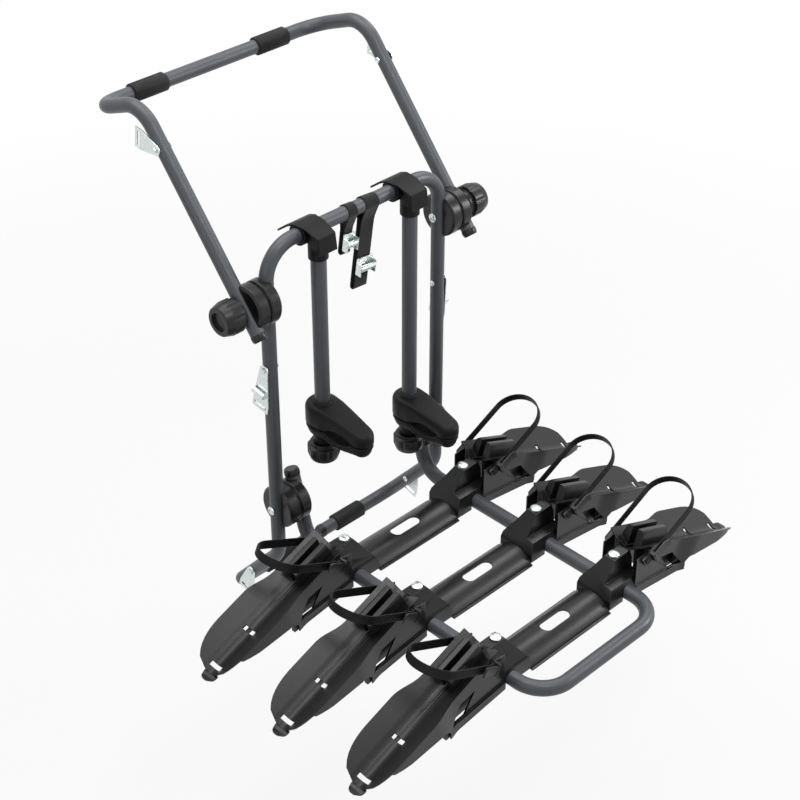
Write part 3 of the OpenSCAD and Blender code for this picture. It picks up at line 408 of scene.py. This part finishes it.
def head_loft(name, centre, levels):
    """A closed form on a clamp head's plan: each level is an inset and a height that follows y."""
    shell = bmesh.new()
    rings = []
    for inset, height in levels:
        half = head_half(inset)
        points = half + [(-x, y) for x, y in reversed(half[1:-1])]
        rings.append([shell.verts.new((centre.x + x, centre.y + y, height(y))) for x, y in points])
    skin(shell, rings)
    count = len(rings[0])
    for ring in (rings[0], rings[-1]):
        for k in range(count // 2):
            across = (ring[k], ring[k + 1], ring[count - k - 1], ring[(count - k) % count])
            shell.faces.new(list(dict.fromkeys(across)))
    return outward_mesh(name, shell)


def lathe(name, centre, profile, sides=64):
    """A closed ring turned about Z from a profile of radius and height."""
    shell = bmesh.new()
    rings = []
    for k in range(sides):
        turn = 2 * math.pi * k / sides
        c, s = math.cos(turn), math.sin(turn)
        rings.append([shell.verts.new((centre.x + r * c, centre.y + r * s, z)) for r, z in profile])
    skin(shell, rings, closed=True)
    return outward_mesh(name, shell)


def polyline(name, points, closed=False):
    """An object of bare edges along some points, for a node tree to follow."""
    count = len(points)
    edges = [(k, (k + 1) % count) for k in range(count if closed else count - 1)]
    mesh = bpy.data.meshes.new(name)
    mesh.from_pydata([tuple(p) for p in points], edges, [])
    line = bpy.data.objects.new(name, mesh)
    bpy.context.scene.collection.objects.link(line)
    return line


# Geometry Nodes

TREES = {}


def ribs_tree():
    """A tree that sets blocks at a steady pitch along a path, square to it."""
    tree = bpy.data.node_groups.new("Ribs along path", "GeometryNodeTree")
    sockets = {}
    for label, kind in (
        ("Path", "NodeSocketGeometry"), ("Pitch", "NodeSocketFloat"), ("Block", "NodeSocketVector"),
        ("Across", "NodeSocketVector"), ("Finish", "NodeSocketMaterial"),
    ):
        socket = tree.interface.new_socket(label, in_out="INPUT", socket_type=kind)
        sockets[label] = socket.identifier
    tree.interface.new_socket("Ribs", in_out="OUTPUT", socket_type="NodeSocketGeometry")
    add = tree.nodes.new
    given = add("NodeGroupInput")
    curve = add("GeometryNodeMeshToCurve")
    steps = add("GeometryNodeResampleCurve")
    steps.mode = "LENGTH"
    tangent = add("GeometryNodeInputTangent")
    along = add("FunctionNodeAlignRotationToVector")
    along.axis = "X"
    square = add("FunctionNodeAlignRotationToVector")
    square.axis = "Y"
    square.pivot_axis = "X"
    block = add("GeometryNodeMeshCube")
    place = add("GeometryNodeInstanceOnPoints")
    real = add("GeometryNodeRealizeInstances")
    dress = add("GeometryNodeSetMaterial")
    made = add("NodeGroupOutput")
    link = tree.links.new
    link(given.outputs["Path"], curve.inputs["Mesh"])
    link(curve.outputs["Curve"], steps.inputs["Curve"])
    link(given.outputs["Pitch"], steps.inputs["Length"])
    link(tangent.outputs["Tangent"], along.inputs["Vector"])
    link(along.outputs["Rotation"], square.inputs["Rotation"])
    link(given.outputs["Across"], square.inputs["Vector"])
    link(given.outputs["Block"], block.inputs["Size"])
    link(steps.outputs["Curve"], place.inputs["Points"])
    link(block.outputs["Mesh"], place.inputs["Instance"])
    link(square.outputs["Rotation"], place.inputs["Rotation"])
    link(place.outputs["Instances"], real.inputs["Geometry"])
    link(real.outputs["Geometry"], dress.inputs["Geometry"])
    link(given.outputs["Finish"], dress.inputs["Material"])
    link(dress.outputs["Geometry"], made.inputs["Ribs"])
    return tree, sockets


def ribs_along(name, points, pitch, block, across, finish, closed=False):
    """Mesh of blocks along some points: block is (along, across, out)."""
    if "Ribs along path" not in TREES:
        TREES["Ribs along path"] = ribs_tree()
    tree, sockets = TREES["Ribs along path"]
    line = polyline(name, points, closed)
    ribs = line.modifiers.new("Ribs", "NODES")
    ribs.node_group = tree
    ribs[sockets["Pitch"]] = pitch
    ribs[sockets["Block"]] = block
    ribs[sockets["Across"]] = tuple(across)
    ribs[sockets["Finish"]] = finish
    return evaluated_mesh(line)


# Finishes

FINISHES = {}


def start_finish(name, colour, roughness, metallic=0.0):
    """A material with its Principled shader, and the Object coordinates for its patterns."""
    finish = bpy.data.materials.new(name)
    finish.use_nodes = True
    tree = finish.node_tree
    shader = tree.nodes["Principled BSDF"]
    shader.inputs["Base Color"].default_value = (*colour, 1.0)
    shader.inputs["Roughness"].default_value = roughness
    shader.inputs["Metallic"].default_value = metallic
    where = tree.nodes.new("ShaderNodeTexCoord").outputs["Object"]
    return finish, tree, shader, where


def noise(tree, where, scale, detail=3.0):
    """Noise of a given scale per metre."""
    node = tree.nodes.new("ShaderNodeTexNoise")
    node.inputs["Scale"].default_value = scale
    node.inputs["Detail"].default_value = detail
    tree.links.new(where, node.inputs["Vector"])
    return node.outputs["Fac"]


def spread(tree, value, low, high, start=0.3, end=0.7):
    """Maps a pattern's middle range to low..high."""
    node = tree.nodes.new("ShaderNodeMapRange")
    node.inputs["From Min"].default_value = start
    node.inputs["From Max"].default_value = end
    node.inputs["To Min"].default_value = low
    node.inputs["To Max"].default_value = high
    tree.links.new(value, node.inputs["Value"])
    return node.outputs["Result"]


def tinted(tree, shader, value, colour, low, high):
    """Lets a pattern lighten and darken the base colour between low and high times itself."""
    mix = tree.nodes.new("ShaderNodeMix")
    mix.data_type = "RGBA"
    mix.inputs["A"].default_value = (*[c * low for c in colour], 1.0)
    mix.inputs["B"].default_value = (*[min(1.0, c * high) for c in colour], 1.0)
    tree.links.new(value, mix.inputs["Factor"])
    tree.links.new(mix.outputs["Result"], shader.inputs["Base Color"])


def bumped(tree, shader, height, strength, depth):
    """Raises a pattern on the surface."""
    bump = tree.nodes.new("ShaderNodeBump")
    bump.inputs["Strength"].default_value = strength
    bump.inputs["Distance"].default_value = depth
    tree.links.new(height, bump.inputs["Height"])
    if shader.inputs["Normal"].links:
        tree.links.new(shader.inputs["Normal"].links[0].from_socket, bump.inputs["Normal"])
    tree.links.new(bump.outputs["Normal"], shader.inputs["Normal"])


def white_rays(tree):
    """1 for the rays that meet a white background: seen, reflected or passed through."""
    rays = tree.nodes.new("ShaderNodeLightPath")
    white = rays.outputs["Is Camera Ray"]
    for kind in ("Is Glossy Ray", "Is Transmission Ray"):
        either = tree.nodes.new("ShaderNodeMath")
        either.operation = "MAXIMUM"
        tree.links.new(white, either.inputs[0])
        tree.links.new(rays.outputs[kind], either.inputs[1])
        white = either.outputs["Value"]
    return white


def powder_coat(colour):
    """Satin powder coat: a fine orange peel and a faint cloudiness."""
    finish, tree, shader, where = start_finish("powder_coat", colour, 0.42)
    clouds = spread(tree, noise(tree, where, 9.0, 4.0), 0.0, 1.0)
    tinted(tree, shader, clouds, colour, 0.94, 1.06)
    tree.links.new(spread(tree, noise(tree, where, 60.0), 0.38, 0.46), shader.inputs["Roughness"])
    bumped(tree, shader, noise(tree, where, 1400.0, 2.0), 0.06, 0.0002)
    return finish


def moulded_plastic(name, colour, low, high, gloss):
    """Moulded plastic with a fine spark grain and slight flow marks."""
    finish, tree, shader, where = start_finish(name, colour, high)
    shader.inputs["IOR"].default_value = 1.3
    shader.inputs["Specular IOR Level"].default_value = gloss
    flow = spread(tree, noise(tree, where, 14.0, 3.0), 0.0, 1.0)
    tinted(tree, shader, flow, colour, 0.94, 1.06)
    tree.links.new(spread(tree, noise(tree, where, 45.0), low, high), shader.inputs["Roughness"])
    bumped(tree, shader, noise(tree, where, 2200.0, 2.0), 0.04, 0.0002)
    return finish


def rubber(colour):
    """Matt rubber with a pebbled skin."""
    finish, tree, shader, where = start_finish("rubber", colour, 0.66)
    shader.inputs["Specular IOR Level"].default_value = 0.25
    tinted(tree, shader, spread(tree, noise(tree, where, 30.0), 0.0, 1.0), colour, 0.85, 1.15)
    tree.links.new(spread(tree, noise(tree, where, 80.0), 0.58, 0.74), shader.inputs["Roughness"])
    bumped(tree, shader, noise(tree, where, 1100.0, 3.0), 0.25, 0.0004)
    return finish


def strap_plastic(name, colour):
    """Flexible strap plastic, with a roughness that varies at random across it."""
    finish, tree, shader, where = start_finish(name, colour, 0.5)
    shader.inputs["Specular IOR Level"].default_value = 0.22
    tinted(tree, shader, spread(tree, noise(tree, where, 40.0), 0.0, 1.0), colour, 0.8, 1.2)
    tree.links.new(spread(tree, noise(tree, where, 120.0), 0.42, 0.56), shader.inputs["Roughness"])
    bumped(tree, shader, noise(tree, where, 1300.0, 2.0), 0.10, 0.0003)
    return finish


def zinc_plate(colour):
    """Bright zinc plate with a faint crystal pattern and fine rub marks."""
    finish, tree, shader, where = start_finish("zinc_plate", colour, 0.28, 1.0)
    crystals = tree.nodes.new("ShaderNodeTexVoronoi")
    crystals.inputs["Scale"].default_value = 260.0
    tree.links.new(where, crystals.inputs["Vector"])
    facets = spread(tree, crystals.outputs["Distance"], 0.0, 1.0, 0.0, 0.8)
    tinted(tree, shader, facets, colour, 0.82, 1.12)
    rubs = spread(tree, noise(tree, where, 150.0, 5.0), 0.20, 0.38)
    tree.links.new(rubs, shader.inputs["Roughness"])
    bumped(tree, shader, noise(tree, where, 700.0, 4.0), 0.05, 0.0003)
    return finish


def woven_web(colour, pitch=0.0016):
    """Woven webbing: a herringbone of warp and weft on the band's own UV map."""
    finish, tree, shader, _ = start_finish("woven_web", colour, 0.86)
    shader.inputs["Sheen Weight"].default_value = 0.25
    shader.inputs["Specular IOR Level"].default_value = 0.25
    where = tree.nodes.new("ShaderNodeUVMap").outputs["UV"]
    waves = []
    for direction, stretch in (("X", 1.0), ("DIAGONAL", 0.6)):
        wave = tree.nodes.new("ShaderNodeTexWave")
        wave.bands_direction = direction
        wave.inputs["Scale"].default_value = stretch * math.pi / (10.0 * pitch)
        wave.inputs["Distortion"].default_value = 0.4
        tree.links.new(where, wave.inputs["Vector"])
        waves.append(wave.outputs["Fac"])
    weave = tree.nodes.new("ShaderNodeMath")
    weave.operation = "MULTIPLY"
    tree.links.new(waves[0], weave.inputs[0])
    tree.links.new(waves[1], weave.inputs[1])
    tinted(tree, shader, weave.outputs["Value"], colour, 0.55, 2.2)
    bumped(tree, shader, weave.outputs["Value"], 0.6, 0.0004)
    return finish


def make_finishes(colours):
    """Makes each finish of the rack once."""
    FINISHES["tube"] = powder_coat(colours.tube)
    FINISHES["mould"] = moulded_plastic("moulded_black", colours.mould, 0.29, 0.34, 0.80)
    FINISHES["tray"] = moulded_plastic("tray_black", colours.mould, 0.29, 0.33, 0.85)
    FINISHES["head"] = moulded_plastic("head_black", colours.mould, 0.44, 0.50, 0.35)
    FINISHES["grip"] = moulded_plastic("grip_black", colours.mould, 0.32, 0.37, 0.80)
    FINISHES["rubber"] = rubber(colours.rubber)
    FINISHES["strap"] = strap_plastic("strap_plastic", colours.strap)
    FINISHES["web"] = woven_web(colours.web)
    FINISHES["thread"] = strap_plastic("stitch_thread", [c * 2.6 for c in colours.web])
    FINISHES["zinc"] = zinc_plate(colours.zinc)


# Operators


class RackOperator:
    """What the rack's operators share."""

    bl_options = {"REGISTER", "UNDO"}


class RACK_OT_tubes(RackOperator, bpy.types.Operator):
    """Coats the frames and the hanger tubes"""

    bl_idname = "rack.tubes"
    bl_label = "Coat Tubes"

    def execute(self, context):
        make_finishes(context.scene.rack_finishes)
        for node in TUBES:
            mesh = frame["nodes"][node].data
            mesh.materials.clear()
            mesh.materials.append(FINISHES["tube"])
        return {"FINISHED"}


class RACK_OT_mouldings(RackOperator, bpy.types.Operator):
    """Rounds the moulded pieces: drums, caps, clamps, knobs and ratchets"""

    bl_idname = "rack.mouldings"
    bl_label = "Round Mouldings"

    def execute(self, context):
        edge = context.scene.rack_sizes.mould_edge
        for node in DRUMS + CAPS + ("ratchet_bases",):
            rounded_node(node, edge, FINISHES["mould"])
        for side in SIDES:
            rounded_node(f"bar_clamp_{side}", edge, FINISHES["head"])
            rounded_node(f"bar_clamp_cover_{side}", 2 * edge, FINISHES["head"])
            for part in ("hinge_knob", "jaw_knob"):
                rounded_node(f"{part}_{side}", edge, FINISHES["grip"])
            for tray in TRAYS:
                lever = f"ratchet_lever_{side}_{tray}"
                rounded_node(lever, edge / 2, FINISHES["mould"])
        return {"FINISHED"}


class RACK_OT_trays(RackOperator, bpy.types.Operator):
    """Rounds the wheel trays: bridges and wheel holders"""

    bl_idname = "rack.trays"
    bl_label = "Round Trays"

    def execute(self, context):
        edge = context.scene.rack_sizes.mould_edge
        for tray in TRAYS:
            rounded_node(f"tray_bridge_{tray}", edge, FINISHES["tray"])
            for side in SIDES:
                rounded_node(f"wheel_holder_{side}_{tray}", edge, FINISHES["tray"])
        return {"FINISHED"}


class RACK_OT_hardware(RackOperator, bpy.types.Operator):
    """Rounds and plates the bolts, plates and buckles"""

    bl_idname = "rack.hardware"
    bl_label = "Plate Hardware"

    def execute(self, context):
        edge = context.scene.rack_sizes.metal_edge
        for node in HARDWARE:
            rounded_node(node, edge, FINISHES["zinc"])
        return {"FINISHED"}


class RACK_OT_hinge_teeth(RackOperator, bpy.types.Operator):
    """Sets the teeth round the rings between the hinge drums"""

    bl_idname = "rack.hinge_teeth"
    bl_label = "Cut Hinge Teeth"

    def execute(self, context):
        for level, gap_x, z in HINGES:
            self.teeth(level, gap_x, z, context.scene.rack_sizes.tooth_count)
        return {"FINISHED"}

    @staticmethod
    def teeth(level, gap_x, z, count):
        """Teeth on the leg's half of both hinges at one level."""
        pitch = 2 * TEETH_R * math.sin(math.pi / count)
        rings = []
        for side in (-1, 1):
            points = [
                Vector((side * gap_x, LEG_Y + TEETH_R * math.cos(a), z + TEETH_R * math.sin(a)))
                for a in (2 * math.pi * k / count for k in range(count))
            ]
            rings.append(
                ribs_along(
                    f"{level}_teeth", points, pitch, TOOTH, (1, 0, 0), FINISHES["mould"], True
                )
            )
        mesh = joined(f"{level}_hinge_teeth", rings)
        add_piece(f"{level}_hinge_teeth", mesh, FINISHES["mould"], "main")


class RACK_OT_sleeves(RackOperator, bpy.types.Operator):
    """Makes the rubber sleeves on the bumper bar and the lid bar"""

    bl_idname = "rack.sleeves"
    bl_label = "Make Sleeves"

    def execute(self, context):
        for node in ("foot_sleeves", "lid_sleeves"):
            low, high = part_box(node)
            middle = (low + high) / 2
            shells = [
                self.sleeve(start, SLEEVE_LENGTH, middle.y, middle.z, (high.z - low.z) / 2)
                for start in (low.x, high.x - SLEEVE_LENGTH)
            ]
            mesh = smooth(joined(f"{node}.look", shells), 50.0)
            piece = add_piece(
                f"{node}.look", mesh, FINISHES["rubber"], node_body(node), (node,)
            )
        return {"FINISHED"}

    @staticmethod
    def sleeve(start, length, y, z, flat):
        """A soft square-shouldered tube along X with rolled ends."""
        bore = TUBE_R + 0.00015
        full = TUBE_R + 0.0045
        roll = 0.0022
        stations = [(0.0, 0.0), (0.0, 0.3), (0.0006, 0.72), (roll, 1.0)]
        profile = stations + [(length - a, b) for a, b in reversed(stations)]
        shell = bmesh.new()
        sides = 56
        rings = []
        for along, share in profile:
            ring = []
            for k in range(sides):
                turn = 2 * math.pi * k / sides
                c, s = math.cos(turn), math.sin(turn)
                corner = min(full, flat / max(abs(c), abs(s)))
                radius = bore + (corner - bore) * share
                ring.append(shell.verts.new((start + along, y + radius * c, z + radius * s)))
            rings.append(ring)
        skin(shell, rings, closed=True)
        return outward_mesh("sleeve", shell)


class RACK_OT_jaws(RackOperator, bpy.types.Operator):
    """Makes the clamp heads' jaws, with their rounded shoulders, collars and bosses"""

    bl_idname = "rack.jaws"
    bl_label = "Make Jaws"

    def execute(self, context):
        for side in SIDES:
            for jaw, make in (("upper", self.upper), ("lower", self.lower)):
                node = f"{jaw}_jaw_{side}"
                low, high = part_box(node)
                centre = Vector(((low.x + high.x) / 2, low.y - NOSE_Y + NOSE_R, 0.0))
                if jaw == "lower":
                    centre.y -= 0.001
                mesh = smooth(joined(f"{node}.look", make(centre, low.z, high.z)), 40.0)
                add_piece(
                    f"{node}.look", mesh, FINISHES["head"], node_body(node), (node,)
                )
        return {"FINISHED"}

    @staticmethod
    def arch(y):
        """Depth of the mouth in a jaw at the distance y from the hanger's axis."""
        half = max(0.0, MOUTH_R ** 2 - (y - MOUTH_Y) ** 2)
        return max(0.0, math.sqrt(half) - MOUTH_R + MOUTH_DEPTH)

    @classmethod
    def upper(cls, centre, foot, top):
        """An upper jaw: arched below, a top that falls to the nose, and a collar round the tube."""

        def under(y):
            return foot + cls.arch(y)

        def crest(y):
            away = max(0.0, FALL_Y - y) / (FALL_Y - NOSE_Y + NOSE_R)
            return top - COLLAR_H - FALL * away ** 1.15

        levels = [
            (0.0012, under),
            (0.0004, lambda y: under(y) + 0.0004),
            (0.0, lambda y: under(y) + 0.0012),
        ]
        for step in range(7):
            turn = math.radians(15 * step)
            levels.append((
                SHOULDER_IN * (1 - math.cos(turn)),
                lambda y, drop=SHOULDER_DROP * (1 - math.sin(turn)): crest(y) - drop,
            ))
        levels.append((0.013, lambda y: crest(y) + 0.0003))
        levels.append((0.019, lambda y: crest(y) + 0.0004))
        base = top - COLLAR_H
        collar = [
            (0.0152, base - 0.002), (0.0152, top - 0.0006), (0.0158, top), (0.0180, top),
            (0.0192, top - 0.0008), (0.0198, top - 0.0022), (0.0204, base + 0.0012),
            (0.0222, base - 0.002),
        ]
        return [head_loft("upper_jaw", centre, levels), lathe("collar", centre, collar)]

    @classmethod
    def lower(cls, centre, foot, top):
        """A lower jaw: a rim that dips under the mouth, a round belly and a boss for the bolt."""
        keel = foot + BOSS_H

        def rim(y):
            return top - cls.arch(y)

        levels = [
            (0.0022, rim),
            (0.0014, lambda y: rim(y) - 0.0004),
            (0.001, lambda y: rim(y) - 0.0012),
            (0.001, lambda y: rim(y) - 0.0056),
            (0.0016, lambda y: rim(y) - 0.0062),
            (RIM_IN, lambda y: rim(y) - RIM_H),
        ]
        for step in range(1, 7):
            turn = math.radians(15 * step)
            levels.append((
                RIM_IN + BELLY_IN * (1 - math.cos(turn)),
                lambda y, share=math.sin(turn): (rim(y) - RIM_H) * (1 - share) + keel * share,
            ))
        boss = [
            (0.0045, foot), (0.0186, foot), (0.0196, foot + 0.001), (0.0200, foot + 0.010),
            (0.0226, keel + 0.003), (0.0045, keel + 0.003),
        ]
        return [head_loft("lower_jaw", centre, levels), lathe("boss", centre, boss)]


class RACK_OT_jaw_pads(RackOperator, bpy.types.Operator):
    """Makes the ribbed rubber pads in the clamp heads' mouths"""

    bl_idname = "rack.jaw_pads"
    bl_label = "Make Jaw Pads"

    def execute(self, context):
        radius = MOUTH_R - PAD_T
        for side in SIDES:
            for jaw, up in (("upper", 1), ("lower", -1)):
                node = f"{jaw}_pad_{side}"
                pad = rounded_node(node, 0.0004, FINISHES["rubber"])
                low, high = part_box(node)
                middle = (low + high) / 2
                crown = high.z if up > 0 else low.z
                points = [
                    Vector((
                        middle.x,
                        middle.y + radius * math.sin(a),
                        crown - up * (MOUTH_R - radius * math.cos(a)),
                    ))
                    for a in (math.radians(-30 + 3 * k) for k in range(21))
                ]
                ribs = ribs_along(
                    f"{node}.ribs", points, PAD_RIB_PITCH, PAD_RIB, (1, 0, 0), FINISHES["rubber"]
                )
                add_piece(f"{node}.ribs", ribs, FINISHES["rubber"], pad["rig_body"])
        return {"FINISHED"}


class RACK_OT_wheel_straps(RackOperator, bpy.types.Operator):
    """Makes the ribbed wheel straps over the trays"""

    bl_idname = "rack.wheel_straps"
    bl_label = "Make Wheel Straps"

    def execute(self, context):
        sizes = context.scene.rack_sizes
        body, width, pitch = sizes.strap_body, sizes.strap_width, sizes.rib_pitch
        block = (pitch * 0.5, width - 0.003, sizes.rib_height)
        lift = body + sizes.rib_height / 2 - 0.0001
        for tray in TRAYS:
            bands = []
            for side in (-1, 1):
                across = Vector((-side * math.sin(STRAP_RISE), 0, math.cos(STRAP_RISE)))
                path = self.path(tray, side, sizes)
                bands.append(swept_band("strap", path, across * side, 0.0, body, width))
                crest = self.path(tray, side, sizes, lift)
                bands.append(
                    ribs_along("strap_ribs", crest, pitch, block, across, FINISHES["strap"])
                )
            mesh = smooth(joined(f"wheel_straps_{tray}.look", bands))
            add_piece(
                f"wheel_straps_{tray}.look", mesh, FINISHES["strap"], "platform",
                (f"wheel_straps_{tray}",),
            )
        return {"FINISHED"}

    @staticmethod
    def path(tray, side, sizes, lift=0.0):
        """The strap's inner line, or a line lifted off it, from its front end round to its back."""
        reach = STRAP_HALF - 0.003 + lift
        runs = [STRAP_START + sizes.strap_run * k / 16 for k in range(16)]
        flat = [(x, -reach) for x in runs]
        flat += [
            (sizes.strap_run + reach * math.sin(a), -reach * math.cos(a))
            for a in (math.pi * k / 40 for k in range(41))
        ]
        flat += [(x, reach) for x in reversed(runs)]
        c, s = math.cos(STRAP_RISE), math.sin(STRAP_RISE)
        points = [STRAP_ORIGIN + Vector((x * c, TRAY_Y[tray] + y, x * s)) for x, y in flat]
        return [Vector((side * p.x, p.y, p.z)) for p in points]


class RACK_OT_webbing(RackOperator, bpy.types.Operator):
    """Makes the two loops of webbing on the crossbar, with their stitching"""

    bl_idname = "rack.webbing"
    bl_label = "Make Webbing"

    def execute(self, context):
        sizes = context.scene.rack_sizes
        turn = Matrix.Rotation(WEB_SWAY[1], 3, "Y") @ Matrix.Rotation(WEB_SWAY[0], 3, "X")
        across = turn @ Vector((1, 0, 0))
        for name, x, width, drop in WEB_LOOPS:
            pivot = Vector((x, LEG_Y, CROSSBAR_Z))
            path = [pivot + turn @ Vector((0, y, z)) for y, z in self.loop(drop)]
            mesh = swept_band(
                f"{name}.look", path, across, 0.0, sizes.web_thickness, width, closed=True
            )
            piece = add_piece(
                f"{name}.look", smooth(mesh), FINISHES["web"], "main", (name,)
            )
            stitches = []
            for lift in STITCH_ROWS:
                reach = width / 2 - 0.004
                row = [
                    pivot + turn @ Vector((reach * k / 4, STITCH_Y, lift - drop))
                    for k in range(-4, 5)
                ]
                stitches.append(
                    ribs_along(
                        f"{name}.row", row, sizes.stitch_pitch, STITCH, turn @ Vector((0, 0, 1)),
                        FINISHES["thread"],
                    )
                )
            mesh = joined(f"{name}.stitches", stitches)
            add_piece(f"{name}.stitches", mesh, FINISHES["thread"], "main")
        return {"FINISHED"}

    @staticmethod
    def loop(drop):
        """Inner line of a hanging loop: round the bar, drawn together, and round at its foot."""
        foot = -drop + WEB_TAIL + 0.002
        half = [
            (WEB_OVER * math.sin(a), WEB_OVER * math.cos(a))
            for a in (math.radians(6 * k) for k in range(21))
        ]
        a, b = half[-1], (WEB_TAIL, WEB_NECK)
        half += [(a[0] + (b[0] - a[0]) * k / 6, a[1] + (b[1] - a[1]) * k / 6) for k in range(1, 7)]
        half += [(WEB_TAIL, WEB_NECK + (foot - WEB_NECK) * k / 12) for k in range(1, 13)]
        half += [
            (WEB_TAIL * math.cos(a), foot - WEB_TAIL * math.sin(a))
            for a in (math.radians(15 * k) for k in range(1, 7))
        ]
        points = half + [(-y, z) for y, z in reversed(half[1:-1])]
        for _ in range(2):
            count = len(points)
            points = [
                tuple(
                    0.25 * points[k - 1][j] + 0.5 * points[k][j] + 0.25 * points[(k + 1) % count][j]
                    for j in range(2)
                )
                for k in range(count)
            ]
        return points


class RACK_OT_stage(RackOperator, bpy.types.Operator):
    """Sets the pale floor, the studio lamps, the world and the camera"""

    bl_idname = "rack.stage"
    bl_label = "Set Stage"

    def execute(self, context):
        scene = context.scene
        scene.view_settings.view_transform = "Standard"
        self.floor(CAD_BOX[0].z - TILT_ROOM)
        self.world(scene)
        for name, place, width, height, power in LAMPS:
            self.lamp(name, Vector(place), width, height, power)
        self.camera(scene)
        return {"FINISHED"}

    @staticmethod
    def floor(level):
        """A wide pale floor that shows white, keeps a soft shadow and fades into the background."""
        mesh = bpy.data.meshes.new("floor")
        far = FLOOR_REACH
        corners = [(-far, -far, level), (far, -far, level), (far, far, level), (-far, far, level)]
        mesh.from_pydata(corners, [], [(0, 1, 2, 3)])
        floor = bpy.data.objects.new("floor", mesh)
        bpy.context.scene.collection.objects.link(floor)
        pale = bpy.data.materials.new("pale_floor")
        pale.use_nodes = True
        tree = pale.node_tree
        shader = tree.nodes["Principled BSDF"]
        shader.inputs["Base Color"].default_value = (0.86, 0.86, 0.86, 1.0)
        shader.inputs["Roughness"].default_value = 0.9
        shader.inputs["Specular IOR Level"].default_value = 0.1
        glow = tree.nodes.new("ShaderNodeEmission")
        place = tree.nodes.new("ShaderNodeTexCoord")
        away = tree.nodes.new("ShaderNodeVectorMath")
        away.operation = "LENGTH"
        share = tree.nodes.new("ShaderNodeMath")
        share.operation = "MULTIPLY"
        blend = tree.nodes.new("ShaderNodeMixShader")
        link = tree.links.new
        link(place.outputs["Object"], away.inputs[0])
        link(white_rays(tree), share.inputs[0])
        link(spread(tree, away.outputs["Value"], FLOOR_WHITE, 1.0, *FLOOR_FADE), share.inputs[1])
        link(share.outputs["Value"], blend.inputs["Fac"])
        link(shader.outputs["BSDF"], blend.inputs[1])
        link(glow.outputs["Emission"], blend.inputs[2])
        link(blend.outputs["Shader"], tree.nodes["Material Output"].inputs["Surface"])
        mesh.materials.append(pale)

    @staticmethod
    def world(scene):
        """A white surround for the camera and for reflections, and a softer one for light."""
        world = bpy.data.worlds.new("studio")
        world.use_nodes = True
        scene.world = world
        tree = world.node_tree
        sky = tree.nodes["Background"]
        sky.inputs["Color"].default_value = (1.0, 1.0, 1.0, 1.0)
        level = spread(tree, white_rays(tree), SKY_LIGHT, 1.0, 0.0, 1.0)
        tree.links.new(level, sky.inputs["Strength"])

    @staticmethod
    def lamp(name, place, width, height, power):
        """A softbox that faces the middle of the rack."""
        light = bpy.data.lights.new(name, "AREA")
        light.shape = "RECTANGLE"
        light.size = width
        light.size_y = height
        light.energy = power
        lamp = bpy.data.objects.new(name, light)
        lamp.location = place
        lamp.rotation_euler = (LAMP_AIM - place).to_track_quat("-Z", "Y").to_euler()
        bpy.context.scene.collection.objects.link(lamp)

    @staticmethod
    def camera(scene):
        """A camera at the photograph's own viewing angle."""
        reach = math.cos(CAMERA_RISE)
        right = Vector((math.cos(CAMERA_TURN), math.sin(CAMERA_TURN), 0.0))
        back = Vector((reach * right.y, -reach * right.x, math.sin(CAMERA_RISE)))
        up = back.cross(right)
        lens = bpy.data.cameras.new("camera")
        lens.sensor_width = 36.0
        lens.lens = CAMERA_LENS
        lens.clip_end = 100.0
        camera = bpy.data.objects.new("camera", lens)
        matrix = Matrix((right, up, back)).transposed().to_4x4()
        matrix.translation = CAMERA_PLACE
        camera.matrix_world = matrix
        scene.collection.objects.link(camera)
        scene.camera = camera


class RACK_PT_panel(bpy.types.Panel):
    """The rack's colours, sizes and making steps"""

    bl_idname = "RACK_PT_panel"
    bl_label = "Bike Rack"
    bl_space_type = "VIEW_3D"
    bl_region_type = "UI"
    bl_category = "Bike Rack"

    def draw(self, context):
        layout = self.layout
        for group in (context.scene.rack_finishes, context.scene.rack_sizes):
            box = layout.box()
            for label in group.__annotations__:
                box.prop(group, label)
        for step in STEPS:
            layout.operator(step.bl_idname)


STEPS = (
    RACK_OT_tubes, RACK_OT_mouldings, RACK_OT_trays, RACK_OT_hardware, RACK_OT_hinge_teeth,
    RACK_OT_sleeves, RACK_OT_jaws, RACK_OT_jaw_pads, RACK_OT_wheel_straps, RACK_OT_webbing,
    RACK_OT_stage,
)
CLASSES = (RackFinishes, RackSizes, *STEPS, RACK_PT_panel)


def register():
    for kind in CLASSES:
        bpy.utils.register_class(kind)
    bpy.types.Scene.rack_finishes = PointerProperty(type=RackFinishes)
    bpy.types.Scene.rack_sizes = PointerProperty(type=RackSizes)


def unregister():
    del bpy.types.Scene.rack_sizes
    del bpy.types.Scene.rack_finishes
    for kind in reversed(CLASSES):
        bpy.utils.unregister_class(kind)


def main():
    register()
    for step in STEPS:
        group, call = step.bl_idname.split(".")
        getattr(getattr(bpy.ops, group), call)()


if __name__ == "__main__":
    main()
